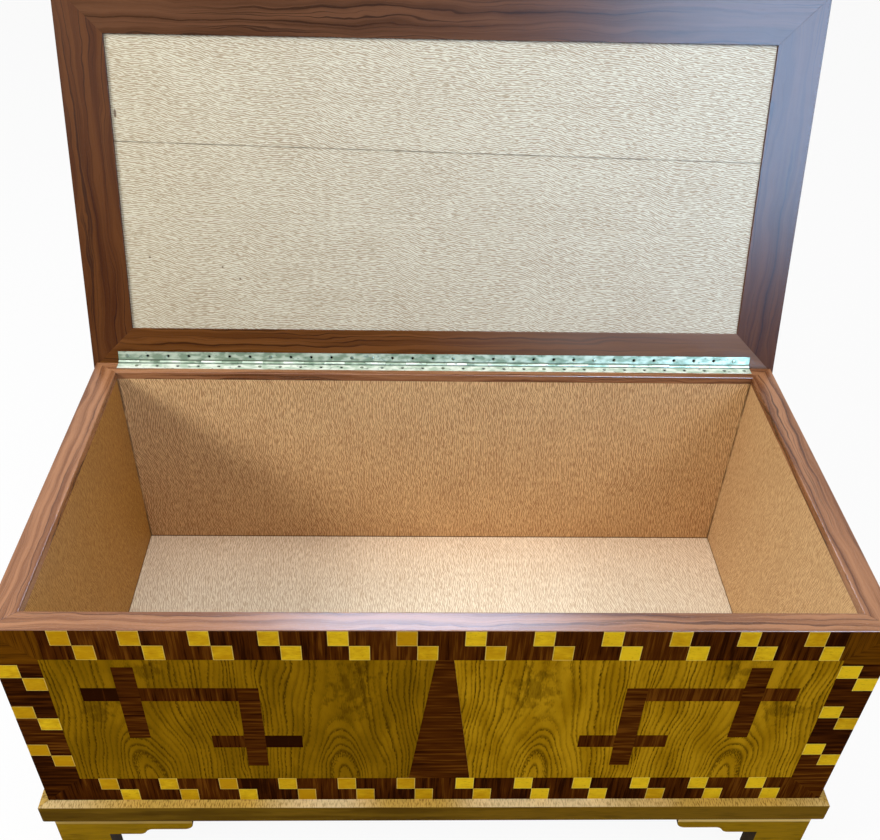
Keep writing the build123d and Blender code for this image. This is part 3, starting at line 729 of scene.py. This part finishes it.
# %% Raw wood in painted shade inside the feet
RAW_SHADE_BLACK, RAW_SHADE_BROWN = (0.012, 0.007, 0.003), (0.05, 0.03, 0.012)


def shaded_wood():
    """The unpolished inner faces of the feet, nearly black with painted shade."""
    finish = Finish("foot_inside", Specular_IOR_Level=0.05, Roughness=0.8)
    x, y, height = [finish.along(way, ledge_corner) for way in (RIGHT, BACK, UP)]
    grain = finish.noise(x / 20, height / 1.5, y / 20, 2)
    return finish.done(Base_Color=finish.blend(grain, RAW_SHADE_BLACK, RAW_SHADE_BROWN))


foot_inside = shaded_wood()
print("raw wood ready")

# %% [markdown]
# ## Plain boards
# The carcass, the bottom and the glue blocks are sawn softwood that nobody was meant to see.
# Its rings are plain: each fades in slowly and ends sharply, as late wood does.

# %% Carcass wood
SAPWOOD, FIBRE_PALE, LATE_WOOD = (0.42, 0.26, 0.12), (0.55, 0.37, 0.19), (0.27, 0.13, 0.045)


def softwood(name, grain, across):
    """Sawn boards with plain rings."""
    finish = Finish(name, Specular_IOR_Level=0.2)
    a, c, d = finish.board(grain, across)
    bent = c + d + finish.noise(a / 260, c / 60, d / 60, 2) * 50
    ring = (bent / 9).fraction()
    line = finish.smooth(ring, 0.5, 0.92) * (1 - finish.smooth(ring, 0.94, 1.0))
    fibre = finish.noise(a / 30, c / 0.7, d / 0.7, 2)
    colour = finish.blend(line * 0.6, finish.blend(fibre, SAPWOOD, FIBRE_PALE), LATE_WOOD)
    return finish.done(Base_Color=colour, Roughness=0.65 + fibre * 0.15,
                       Normal=finish.bump(fibre, 0.15))


board_wood = softwood("softwood_long", RIGHT, UP)
block_wood = softwood("softwood_upright", UP, RIGHT)
print("softwood ready")

# %% [markdown]
# ## Hinge metal
# The hinge is stamped from thin plated brass.  Age has turned the plating a dull green, with
# patches of darker grime and pale rubbed places between.  The countersinks are darkened with
# painted shade and grime, and the crease along the barrel with painted shade.  The lower leaf,
# which lies face up, is given paler colours than the upper one: painted light.  Each leaf is
# measured from the pin: along it, and away from it across the leaf.  The screws are the same
# metal, only darker.

# %% Plated brass
CREASE, CREASE_SHADE_EDGE, HOLE_DARK_EDGE = -3.1, (0.6, 1.3), (1.9, 3.4)
GREEN, PALE_GREEN = (0.20, 0.27, 0.185), (0.46, 0.53, 0.41)
LIT_MINT, LIT_MINT_WHITE, TARNISH = (0.46, 0.56, 0.44), (0.80, 0.84, 0.74), (0.05, 0.062, 0.035)
SCREW_DARK, SCREW_PALE = (0.10, 0.12, 0.08), (0.24, 0.27, 0.19)
SCREW_TARNISH = (0.04, 0.045, 0.025)


def plated(name, away, start, bright, plain_tone, tarnish, **constants):
    """Plated metal of a leaf that lies away from the pin, with its first hole at the start."""
    finish = Finish(name, **constants)
    x, across, outward = finish.board(RIGHT, away)
    wave = finish.noise(x / 19, across / 9, outward / 9, 1)
    cloud = finish.noise(x / 13, across / 6, outward / 5, 2)
    grime = finish.smooth(finish.noise(x / 9, across / 4.5, outward / 4, 2), 0.6, 0.72)
    scratch = finish.noise(x / 14, across / 0.3, outward / 0.3, 2)
    shade = finish.blend(finish.smooth(cloud + wave - 0.5, 0.3, 0.7), plain_tone, bright)
    shade = finish.blend(grime * 0.55, shade, tarnish)
    # Painted shade, with some grime, round each hole, and painted shade along the crease by the
    # barrel.
    hole_shade_and_grime = 1 - finish.smooth(hole_distance(finish, away, start), *HOLE_DARK_EDGE)
    crease_shade = 1 - finish.smooth(abs(across - CREASE), *CREASE_SHADE_EDGE)
    shade = finish.blend(hole_shade_and_grime.larger(crease_shade) * (0.35 + cloud * 0.7), shade, tarnish)
    return finish.done(Base_Color=shade, Roughness=0.3 + grime * 0.25 + scratch * 0.08,
                       Normal=finish.bump(wave + scratch * 0.05, 0.22))


# The lower leaf, lying face up, gets paler colours than the upper one: painted light.
leaf_metal = {
    "lower": plated("plated_brass_lower", BACK, HOLE_STARTS["lower"], LIT_MINT_WHITE, LIT_MINT, TARNISH,
                    Metallic=0.25, Specular_IOR_Level=0.2),
    "upper": plated("plated_brass_upper", -LID_UP, HOLE_STARTS["upper"], PALE_GREEN, GREEN, TARNISH,
                    Metallic=0.35, Specular_IOR_Level=0.2),
}
between_holes = HOLE_STARTS["lower"] + HOLE_PITCH / 2
screw_metal = plated("dull_brass", BACK, between_holes, SCREW_PALE, SCREW_DARK, SCREW_TARNISH,
                     Metallic=0.6)
print("metals ready")

# %% [markdown]
# ## Softened copies
# A solid's edges are perfectly sharp, but polished wood has an arris worn round by sanding,
# which catches the light.  Each board is copied and its flat faces are joined up.  The copy then
# stands for the solid it came from and rides on the same body, so it turns with the lid or stays
# with the box.

# %% Copy a solid's mesh
SAME_PLACE, SAME_PLANE = 1e-6, math.radians(0.5)


def own_mesh(node):
    """A copy of a node's mesh with its doubled points joined and its flat faces made whole."""
    mesh = nodes[node].data.copy()
    shape = bmesh.new()
    shape.from_mesh(mesh)
    bmesh.ops.remove_doubles(shape, verts=shape.verts, dist=SAME_PLACE)
    bmesh.ops.dissolve_limit(shape, angle_limit=SAME_PLANE, verts=shape.verts, edges=shape.edges)
    shape.to_mesh(mesh)
    shape.free()
    return mesh


def show(node, manner, mesh, material):
    """Put a mesh in the scene in place of a node, on the same body."""
    mesh.materials.clear()
    mesh.materials.append(material)
    piece = placed(f"{node}_{manner}", mesh)
    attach(piece, body_of_node[node])
    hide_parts(node)
    return piece


body_of_node = {node: body for body, members in frame["record"]["behaviour"]["bodies"].items()
                for node in members}
print("nodes with a body:", len(body_of_node))

# %% [markdown]
# A Bevel modifier rounds the sharp edges.  At a mitre two boards meet edge to edge, and a full
# bevel there would open a groove that a tight joint doesn't have.  So every edge has a weight:
# all of the bevel for a free edge, a small share for the edges of a mitre, and nothing for an
# edge that isn't sharp.  The flat faces keep their own normals and stay flat in the light.

# %% Bevel and smooth a piece
SHARP = math.radians(35)
MITRE_SHARE, MITRE_NORMAL, MITRE_MARGIN = 0.3, math.sqrt(0.5), 0.02
ARRIS_MM, SHEET_ARRIS_MM, ARRIS_ROUNDS = 0.5, 0.12, 2


def settle(piece):
    """Apply the piece's modifiers to its mesh."""
    bpy.context.view_layer.update()
    ready = piece.evaluated_get(bpy.context.evaluated_depsgraph_get())
    mesh = bpy.data.meshes.new_from_object(ready)
    piece.modifiers.clear()
    piece.data = mesh


def edge_shares(mesh):
    """How much of the bevel each edge gets."""
    shape = bmesh.new()
    shape.from_mesh(mesh)
    shares = []
    for edge in shape.edges:
        mitre = any(abs(abs(face.normal.x) - MITRE_NORMAL) < MITRE_MARGIN
                    for face in edge.link_faces)
        sharp = edge.calc_face_angle(0.0) > SHARP
        shares.append((MITRE_SHARE if mitre else 1.0) if sharp else 0.0)
    shape.free()
    return shares


def arris(piece, width_mm):
    """Bevel a piece's sharp edges, with flat faces that stay flat in their shading."""
    piece.data.shade_smooth()
    piece.data.set_sharp_from_angle(angle=SHARP)
    weights = piece.data.attributes.new("bevel_weight_edge", "FLOAT", "EDGE")
    weights.data.foreach_set("value", edge_shares(piece.data))
    bevel = piece.modifiers.new("arris", "BEVEL")
    bevel.width = width_mm * MM
    bevel.segments = ARRIS_ROUNDS
    bevel.limit_method = "WEIGHT"
    bevel.harden_normals = True
    settle(piece)


print("bevel in mm:", ARRIS_MM)

# %% [markdown]
# Every board of the rim, the lid's frame, the moulding and the feet gets its arris.  The long
# ones and the short ones differ in the direction of their grain, so each is named with its wood.

# %% Soften the boards
def softened(node, material):
    """A copy of a node with an arris along its sharp edges."""
    piece = show(node, "worn", own_mesh(node), material)
    arris(piece, ARRIS_MM)
    return piece


worn = {
    "rim_front": rim_long, "rim_back": rim_long, "rim_left": rim_short, "rim_right": rim_short,
    "lid_rail_front": lid_long, "lid_rail_back": lid_low,
    "lid_stile_left": lid_short, "lid_stile_right": lid_short,
    "base_moulding_front": base_long, "base_moulding_back": base_long,
    "base_moulding_left": base_short, "base_moulding_right": base_short,
}
for face in ("front", "back"):
    for end in ("left", "right"):
        worn[f"foot_{face}_{end}_long"] = base_long
        worn[f"foot_{face}_{end}_short"] = base_short
softened_pieces = {node: softened(node, material) for node, material in worn.items()}
print("softened pieces:", len(softened_pieces))

# %% [markdown]
# The feet are only polished outside.  Their inner faces, and the side of the leg that looks into
# the gap between the feet, were left raw and lie in shade, so they get the finish of raw wood
# with painted shade.  The direction of a face tells which it is, so no face has to be picked by
# hand.

# %% Raw inner faces of the feet, in painted shade
FACING = 0.6


def leave_raw_in_shade(node, piece):
    """Give the faces that look inwards the finish of raw wood with painted shade."""
    face, end = node.split("_")[1:3]
    inwards = (BACK if face == "front" else -BACK, RIGHT if end == "left" else -RIGHT)
    piece.data.materials.append(foot_inside)
    raw = 0
    for polygon in piece.data.polygons:
        if max(polygon.normal.dot(direction) for direction in inwards) > FACING:
            polygon.material_index = 1
            raw += 1
    return raw


raw_shaded_faces = [leave_raw_in_shade(node, piece) for node, piece in softened_pieces.items()
             if node.startswith("foot_")]
print("raw faces on the feet:", sum(raw_shaded_faces))

# %% [markdown]
# ## Marquetry pieces
# A panel's veneer is many loose pieces in one mesh.  A piece is found by walking from point to
# point along its edges until no new point turns up.

# %% Find the pieces of veneer
def loose_pieces(shape):
    """The sets of points that hang together."""
    left = set(shape.verts)
    while left:
        found, edge = set(), [left.pop()]
        while edge:
            point = edge.pop()
            found.add(point)
            for link in point.link_edges:
                other = link.other_vert(point)
                if other in left:
                    left.remove(other)
                    edge.append(other)
        yield found


print("veneer can be taken apart")

# %% [markdown]
# Each piece gets a tone of its own and is told where its middle is, and both are stored on its
# points for the finishes above to read.  That needs no texture and no unwrapping, and the same
# finish serves every piece.  The pieces are put in order first, so that each always gets the
# same tone.

# %% Mark each piece of veneer
def marked(node, tone_of=None):
    """A node's mesh with the attributes tone and middle."""
    mesh = own_mesh(node)
    shape = bmesh.new()
    shape.from_mesh(mesh)
    tone_layer = shape.verts.layers.float.new("tone")
    middle_layer = shape.verts.layers.float_vector.new("middle")
    groups = []
    for points in loose_pieces(shape):
        low = Vector([min(point.co[i] for point in points) for i in range(3)])
        high = Vector([max(point.co[i] for point in points) for i in range(3)])
        groups.append(((low + high) / 2, points))
    groups.sort(key=lambda group: [round(value, 5) for value in group[0]])
    tones = random.Random(node)
    for middle, points in groups:
        tone = tones.random()
        if tone_of:
            tone = tone_of(middle, tone)
        for point in points:
            point[tone_layer] = tone
            point[middle_layer] = middle
    shape.to_mesh(mesh)
    shape.free()
    return mesh


def inlaid(node, material, tone_of=None):
    """Show a node of many pieces of veneer in its finish."""
    show(node, "inlaid", marked(node, tone_of), material)


print("marking ready")

# %% [markdown]
# The bars of the front were cut from whatever was at hand: the outer end of its long level bar
# and the inner end of its short one are nearly black on the left, and the rest are brown.  Painted
# light makes the right-hand leaf of ash, and the bars and squares on that side, paler than those
# on the left.

# %% Lay the marquetry
BLACK_ENDS, SHORT_BAR_TOP = ((-420, -375), (-212, -150)), 0.31
BLACK_TONE, WEDGE_TONE, PAINTED_RIGHT_LIGHT = -0.7, 0.7, 0.3


def bar_tone(middle, tone):
    """Near black at the two ends of the front's level bars on the left."""
    in_long, in_short = [low < middle.x / MM < high for low, high in BLACK_ENDS]
    if in_long or (in_short and middle.z < SHORT_BAR_TOP):
        return BLACK_TONE
    # Painted light: the bars on the right are made paler.
    return 0.4 + tone * 0.3 + (PAINTED_RIGHT_LIGHT if middle.x > 0 else 0)


def leaf_tone(middle, tone):
    """The right-hand leaf of ash gets the paler colours: painted light."""
    return 1.0 if middle.x > 0 else 0.0


def square_tone(middle, tone):
    """The squares on the right are made paler: painted light."""
    return tone * 0.65 + (PAINTED_RIGHT_LIGHT if middle.x > 0 else 0)


def wedge_tone(middle, tone):
    """The wedge is a brown leaf rather than a black one."""
    return WEDGE_TONE


for panel in panels:
    paired = panel.name in ("front", "lid")
    inlaid(f"{panel.name}_border", dark_veneer(panel, "border", border_side(panel)))
    inlaid(f"{panel.name}_bars", dark_veneer(panel, "bars", upright_bars(panel, paired)),
           bar_tone if panel.name == "front" else None)
    inlaid(f"{panel.name}_fields", ash(panel, HEARTS if paired else END_HEART), leaf_tone)
    if paired:
        inlaid(f"{panel.name}_squares", pale_veneer(panel), square_tone)
        inlaid(f"{panel.name}_wedge", dark_veneer(panel, "wedge", always_sideways), wedge_tone)
print("panels dressed:", len(panels))

# %% [markdown]
# ## Plain nodes
# The flat boards need no new shape: their solids stay, with the right wood on them.

# %% Give the plain boards their wood
plain = {
    "lid_lining": lid_lining, "lining_back": back_lining, "lining_front": back_lining,
    "lining_left": left_lining, "lining_right": right_lining, "lining_floor": floor_lining,
    "back_veneer": back_wood, "lid_core": board_wood, "bottom_board": board_wood,
    "carcass_front": board_wood, "carcass_back": board_wood,
    "carcass_left": board_wood, "carcass_right": board_wood, "foot_glue_blocks": block_wood,
    "hinge_pin": screw_metal,
}
for node, material in plain.items():
    for place in nodes[node].material_slots:
        place.material = material
print("plain nodes:", len(plain))

# %% [markdown]
# ## Hinge leaves
# A leaf of a piano hinge is a strip of sheet brass.  A press stamps a row of countersunk holes in
# it and rolls tongues along one edge round the pin.  Cutting the holes with a Boolean would leave
# long thin faces that shade badly, so the strip is made of cells, one to a hole: quads run from
# the rim of the hole to a square round it.  Both leaves are made lying flat, with `x` along the
# pin, `w` across the leaf and `h` towards the side that shows, and are then laid in place.

# %% A row of cells with countersunk holes
LEAF_WIDTH, LEAF_INNER, LEAF_TOP, LEAF_BOTTOM = 15.5, -2.8, -0.5, -1.5
HOLE_RADIUS, SINK_RADIUS, SINK_DEPTH = 1.7, 2.55, 0.75
CELL_REACH, SIDE_POINTS = 6.0, 6
RIPPLES = ((0.035, 23.0, 0.0), (0.025, 8.7, 1.0))


def even(low, high):
    """The places that cut a length into as many parts as a cell's side has."""
    return [low + (high - low) * i / SIDE_POINTS for i in range(SIDE_POINTS + 1)]


def square_round(x_middle):
    """Points round a hole's cell, in turn, the same number on each side."""
    x_low, x_high = x_middle - CELL_REACH, x_middle + CELL_REACH
    corners = [(x_low, -LEAF_WIDTH), (x_high, -LEAF_WIDTH), (x_high, LEAF_INNER),
               (x_low, LEAF_INNER)]
    points = []
    for i, (x, w) in enumerate(corners):
        x_next, w_next = corners[(i + 1) % 4]
        for step in range(SIDE_POINTS):
            share = step / SIDE_POINTS
            points.append((x + (x_next - x) * share, w + (w_next - w) * share))
    return points


def circle_below(points, x_middle, radius):
    """The points of a circle round a hole that lie on the way to each of the points."""
    found = []
    for x, w in points:
        angle = math.atan2(w - HOLE_SETBACK, x - x_middle)
        found.append((x_middle + radius * math.cos(angle),
                      HOLE_SETBACK + radius * math.sin(angle)))
    return found


def ripple(x):
    """The strip isn't quite flat: its height differs a little along it."""
    return sum(height * math.sin(x / length + turn) for height, length, turn in RIPPLES)


print("holes in each leaf:", HOLE_COUNT)

# %% [markdown]
# The cells share their points, so the finished strip is one closed skin: a plain stretch of
# sheet, a cell with its hole, a plain stretch, and so on, with upright faces all round the edge.

# %% The flat strip of a leaf
def plate(shape, start):
    """The flat strip of a leaf, with a countersunk hole in every cell."""
    holes = [start - HINGE_HALF + HOLE_PITCH * i for i in range(HOLE_COUNT)]
    middles = [(a + b) / 2 for a, b in zip(holes, holes[1:])]
    limits = [-HINGE_HALF, *middles, HINGE_HALF]
    steps = even(-LEAF_WIDTH, LEAF_INNER)
    known = {}

    def face(corners):
        points = []
        for x, w, h in corners:
            key = (round(x, 3), round(w, 3), round(h, 3))
            if key not in known:
                known[key] = shape.verts.new((x, w, h + ripple(x)))
            points.append(known[key])
        shape.faces.new(points)

    def edge_face(x, w, x_next, w_next):
        """An upright face between the two sides of the sheet."""
        face([(x, w, LEAF_TOP), (x_next, w_next, LEAF_TOP),
              (x_next, w_next, LEAF_BOTTOM), (x, w, LEAF_BOTTOM)])

    for low, hole, high in zip(limits, holes, limits[1:]):
        outer = square_round(hole)
        rings = [[(x, w, LEAF_TOP) for x, w in outer]]
        for radius, height in ((SINK_RADIUS, LEAF_TOP), (HOLE_RADIUS, LEAF_TOP - SINK_DEPTH),
                               (HOLE_RADIUS, LEAF_BOTTOM)):
            rings.append([(x, w, height) for x, w in circle_below(outer, hole, radius)])
        rings.append([(x, w, LEAF_BOTTOM) for x, w in outer])
        for first, second in zip(rings, rings[1:]):
            for i in range(len(first)):
                j = (i + 1) % len(first)
                face([first[i], first[j], second[j], second[i]])
        for x_low, x_high in ((low, hole - CELL_REACH), (hole + CELL_REACH, high)):
            for w_low, w_high in zip(steps, steps[1:]):
                for h in (LEAF_TOP, LEAF_BOTTOM):
                    face([(x_low, w_low, h), (x_high, w_low, h),
                          (x_high, w_high, h), (x_low, w_high, h)])
            for w in (steps[0], steps[-1]):
                edge_face(x_low, w, x_high, w)
        for w in (steps[0], steps[-1]):
            xs = even(hole - CELL_REACH, hole + CELL_REACH)
            for x, x_next in zip(xs, xs[1:]):
                edge_face(x, w, x_next, w)
    for x in (-HINGE_HALF, HINGE_HALF):
        for w_low, w_high in zip(steps, steps[1:]):
            edge_face(x, w_low, x, w_high)


print("plain stretch between cells, mm:", HOLE_PITCH - 2 * CELL_REACH)

# %% [markdown]
# A tongue is a narrow part of the sheet, thinned where it leaves the strip and rolled most of the
# way round the pin.  Its section follows the roll: a middle line with half the sheet's thickness
# on either side, drawn out along the pin.  The two leaves take every second place along the pin,
# with a little play between neighbours.

# %% Rolled tongues
ROLL_RADIUS, HALF_SHEET = 1.85, 0.5
KNUCKLES, KNUCKLE_PLAY = 31, 0.4
ROLL_START, ROLL_END, ROLL_STEPS = -125, 184, 26
TONGUE_ROOT = ((-3.3, -1.0, 0.3), (-2.8, -1.0, 0.42), (-2.4, -1.02, HALF_SHEET),
               (-1.95, -1.1, HALF_SHEET), (-1.5, -1.27, HALF_SHEET))


def roll_section():
    """The two sides of a tongue's section, from the strip round the pin."""
    line = list(TONGUE_ROOT)
    for i in range(ROLL_STEPS + 1):
        angle = math.radians(ROLL_START + (ROLL_END - ROLL_START) * i / ROLL_STEPS)
        line.append((ROLL_RADIUS * math.cos(angle), ROLL_RADIUS * math.sin(angle), HALF_SHEET))
    sides = ([], [])
    for i, (w, h, half) in enumerate(line):
        before = Vector(line[max(i - 1, 0)][:2])
        after = Vector(line[min(i + 1, len(line) - 1)][:2])
        run = (after - before).normalized()
        sides[0].append((w + run.y * half, h - run.x * half))
        sides[1].append((w - run.y * half, h + run.x * half))
    return sides


def tongues(shape, first):
    """Every second knuckle along the pin, from the first one of this leaf."""
    pitch = 2 * HINGE_HALF / KNUCKLES
    sides = roll_section()
    for k in range(first, KNUCKLES, 2):
        start, end = [[[shape.verts.new((x - HINGE_HALF, w, h)) for w, h in side]
                       for side in sides]
                      for x in (k * pitch + KNUCKLE_PLAY / 2, (k + 1) * pitch - KNUCKLE_PLAY / 2)]
        for i in range(len(sides[0]) - 1):
            for near, far in zip(start, end):
                shape.faces.new((near[i], near[i + 1], far[i + 1], far[i]))
            for outer, inner in (start, end):
                shape.faces.new((outer[i], outer[i + 1], inner[i + 1], inner[i]))
        for i in (0, -1):
            shape.faces.new((start[0][i], start[1][i], end[1][i], end[0][i]))


print("knuckle length in mm:", round(2 * HINGE_HALF / KNUCKLES - KNUCKLE_PLAY, 1))

# %% [markdown]
# The upper leaf's work is turned to the lid's own directions and the lower leaf's to the room's.
# Both get a hair's breadth of bevel, which is what gives sheet metal its bright edges.

# %% Lay both leaves at the pin
leaf_axes = {"lower": (RIGHT, BACK, UP), "upper": (RIGHT, -LID_UP, -LID_OUT)}


def laid(shape, axes):
    """Lay flat work in its place at the pin and turn its faces outwards."""
    for point in shape.verts:
        x, w, h = point.co
        point.co = pin + (axes[0] * x + axes[1] * w + axes[2] * h) * MM
    bmesh.ops.recalc_face_normals(shape, faces=shape.faces)
    mesh = bpy.data.meshes.new("work")
    shape.to_mesh(mesh)
    shape.free()
    return mesh


for first, leaf in enumerate(("lower", "upper")):
    shape = bmesh.new()
    plate(shape, HOLE_STARTS[leaf])
    tongues(shape, first)
    strip = show(f"hinge_leaf_{leaf}", "rolled", laid(shape, leaf_axes[leaf]), leaf_metal[leaf])
    arris(strip, SHEET_ARRIS_MM)
    print(strip.name, len(strip.data.polygons), "faces")

# %% [markdown]
# ## Screws
# The screws have domed, slotted heads with a cone below that fills the countersink, and a thread.
# One profile is turned round the screw's axis, and a narrow bar is then cut out of the head for
# the slot.  The thread is a row of rings rather than a true spiral, because only the head shows.

# %% Turned screws
HEAD = ((0.0, 0.40), (0.8, 0.385), (1.5, 0.32), (2.05, 0.2), (2.42, 0.04), (2.5, -0.06),
        (1.62, -0.9))
THREAD_START, THREAD_PITCH, THREAD_LOW, THREAD_HIGH = -1.3, 1.3, 1.15, 1.48
SHANK_END, POINT_LENGTH = -9.8, 2.2
TURN_STEPS = 28


def screw_profile():
    """Radius and height of a screw from the top of its head to its point."""
    profile = list(HEAD)
    height = THREAD_START
    while height > SHANK_END + POINT_LENGTH:
        profile += [(THREAD_LOW, height), (THREAD_HIGH, height - THREAD_PITCH / 2)]
        height -= THREAD_PITCH
    return profile + [(THREAD_LOW * 0.8, height), (0.0, SHANK_END)]


def turned(shape, profile, x_middle):
    """Turn a profile round the upright axis of a hole."""
    rings = []
    for radius, height in profile:
        count = TURN_STEPS if radius else 1
        rings.append([shape.verts.new((x_middle + radius * math.cos(math.tau * i / TURN_STEPS),
                                       HOLE_SETBACK + radius * math.sin(math.tau * i / TURN_STEPS),
                                       LEAF_TOP + height)) for i in range(count)])
    for first, second in zip(rings, rings[1:]):
        for i in range(TURN_STEPS):
            j = (i + 1) % TURN_STEPS
            corners = [first[i % len(first)], first[j % len(first)],
                       second[j % len(second)], second[i % len(second)]]
            shape.faces.new(dict.fromkeys(corners))


print("points in a screw's profile:", len(screw_profile()))

# %% [markdown]
# Every screw was driven by hand, so no two slots stand the same way.  Only some of the holes ever
# got a screw.

# %% Slots, and the screws in their holes
SLOT_WIDTH, SLOT_DEPTH, SLOT_REACH, BAR_TOP = 0.75, 0.42, 3.4, 1.0
SQUARE_CORNERS = ((-1, -1), (1, -1), (1, 1), (-1, 1))
BAR_FACES = ((0, 1, 2, 3), (4, 5, 6, 7), (0, 1, 5, 4), (1, 2, 6, 5), (2, 3, 7, 6), (3, 0, 4, 7))
SCREWS = {"lower": (0, 6, 11, 15, 20, 30), "upper": (0, 7, 11, 12, 16, 23, 30)}


def slot_bar(shape, x_middle, angle):
    """The bar that is cut out of a head."""
    along = Vector((math.cos(angle), math.sin(angle)))
    aside = Vector((-math.sin(angle), math.cos(angle)))
    corners = []
    for h in (LEAF_TOP + HEAD[0][1] - SLOT_DEPTH, LEAF_TOP + BAR_TOP):
        for a, s in SQUARE_CORNERS:
            spot = (Vector((x_middle, HOLE_SETBACK)) + along * a * SLOT_REACH
                    + aside * s * SLOT_WIDTH / 2)
            corners.append(shape.verts.new((spot.x, spot.y, h)))
    for face in BAR_FACES:
        shape.faces.new([corners[i] for i in face])


def cut_out(piece, cutter):
    """Take the cutter's shape out of a piece and clear the cutter away."""
    cut = piece.modifiers.new("slots", "BOOLEAN")
    cut.operation = "DIFFERENCE"
    cut.solver = "EXACT"
    cut.object = cutter
    settle(piece)
    bpy.data.objects.remove(cutter)


hands = random.Random("screws")
for leaf, numbers in SCREWS.items():
    bodies, bars = bmesh.new(), bmesh.new()
    for number in numbers:
        x = HOLE_STARTS[leaf] - HINGE_HALF + HOLE_PITCH * number
        turned(bodies, screw_profile(), x)
        slot_bar(bars, x, hands.uniform(0, math.pi))
    screws = show(f"hinge_screws_{leaf}", "turned", laid(bodies, leaf_axes[leaf]), screw_metal)
    cut_out(screws, placed("slots", laid(bars, leaf_axes[leaf])))
    screws.data.set_sharp_from_angle(angle=SHARP)
    print(screws.name, len(screws.data.polygons), "faces")

# %% [markdown]
# ## Studio
# The floor is pale and the light soft and plain.  The floor and the sky look white to the camera
# and to mirror-like surfaces, but send only their share of light onto the chest.  The white is a
# glow mixed in for those rays alone, so the floor still takes the chest's shadow.

# %% Floor
SEEN_RAYS = ("Is Camera Ray", "Is Glossy Ray", "Is Transmission Ray")
FLOOR_COLOUR, FLOOR_SHOWN = (0.8, 0.8, 0.8), 0.93
FLOOR_HALF, FLOOR_DROP = 9, 0.0005


def seen_directly(finish):
    """1 for a ray that the camera, a glossy surface or glass sends out."""
    seen = [finish.node("LightPath", output=name) for name in SEEN_RAYS]
    return seen[0].larger(seen[1]).larger(seen[2])


def floor_finish():
    """A matt colour that the camera and glossy surfaces see mostly as plain white."""
    finish = Finish("pale_floor", Roughness=0.9, Specular_IOR_Level=0.0)
    matt = Wire(finish, finish.shader.outputs[0])
    both = finish.node("MixShader", {}, {
        0: seen_directly(finish) * FLOOR_SHOWN, 1: matt, 2: finish.node("Emission")})
    finish.feed(finish.tree.nodes["Material Output"].inputs[0], both)
    return finish.done(Base_Color=FLOOR_COLOUR)


floor_mesh = bpy.data.meshes.new("floor")
floor_corners = [(x * FLOOR_HALF, y * FLOOR_HALF, 0) for x, y in SQUARE_CORNERS]
floor_mesh.from_pydata(floor_corners, [], [(0, 1, 2, 3)])
floor_mesh.materials.append(floor_finish())
floor = placed("floor", floor_mesh)
floor.location.z = -FLOOR_DROP
print("floor laid")

# %% [markdown]
# The sky is even and white.  It has a node tree of its own, which the same wires can work, so
# only the place where they are plugged in is different.

# %% World
SKY_LIGHT, SKY_SHOWN = 0.30, 1.0


class Sky(Finish):
    """The world's own nodes, worked with the same wires."""

    def __init__(self, world):
        world.use_nodes = True
        self.tree = world.node_tree
        self.shader = self.tree.nodes["Background"]


world = bpy.data.worlds.new("studio")
bpy.context.scene.world = world
sky = Sky(world)
sky.feed(sky.shader.inputs["Color"], (1, 1, 1))
sky.feed(sky.shader.inputs["Strength"], seen_directly(sky) * (SKY_SHOWN - SKY_LIGHT) + SKY_LIGHT)
print("sky light:", SKY_LIGHT)

# %% [markdown]
# Two soft lamps stand in front on either side, the left one brighter, and a broad one hangs
# overhead to reach into the box.  Two more only show as gleams on polished wood: a cool window
# at the front right and a bright patch of ceiling behind.

# %% Lamps
CHEST_MIDDLE = Vector((0, 0, 0.4))
WHITE, WINDOW_BLUE, CEILING_BLUE = (1, 1, 1), (0.35, 0.62, 1.0), (0.52, 0.70, 1.0)


def lamp(name, place, size, watts, tint=WHITE, gleam_only=False):
    """A soft rectangular lamp that points at the middle of the chest."""
    light = bpy.data.lights.new(name, "AREA")
    light.shape = "RECTANGLE"
    light.size, light.size_y = size
    light.energy = watts
    light.color = tint
    holder = placed(name, light)
    holder.location = place
    holder.rotation_euler = (CHEST_MIDDLE - Vector(place)).to_track_quat("-Z", "Y").to_euler()
    holder.visible_diffuse = not gleam_only


lamp("left_lamp", (-2.3, -0.9, 2.1), (1.2, 0.8), 72)
lamp("right_lamp", (1.7, -1.1, 2.4), (1.2, 0.8), 24)
lamp("overhead_lamp", (0.0, -0.2, 3.0), (2.0, 1.4), 28)
lamp("window", (1.4, -2.15, 1.5), (1.1, 1.4), 330, WINDOW_BLUE, gleam_only=True)
lamp("ceiling", (0.05, 1.43, 2.6), (1.0, 0.5), 42, CEILING_BLUE, gleam_only=True)
bpy.context.scene.view_settings.view_transform = "Standard"
print("lamps: 5")

# %% [markdown]
# ## Finish
# The box round the dressed chest should be the box round the solids, but for the softened edges.

# %% Finish
print("scene dressed")
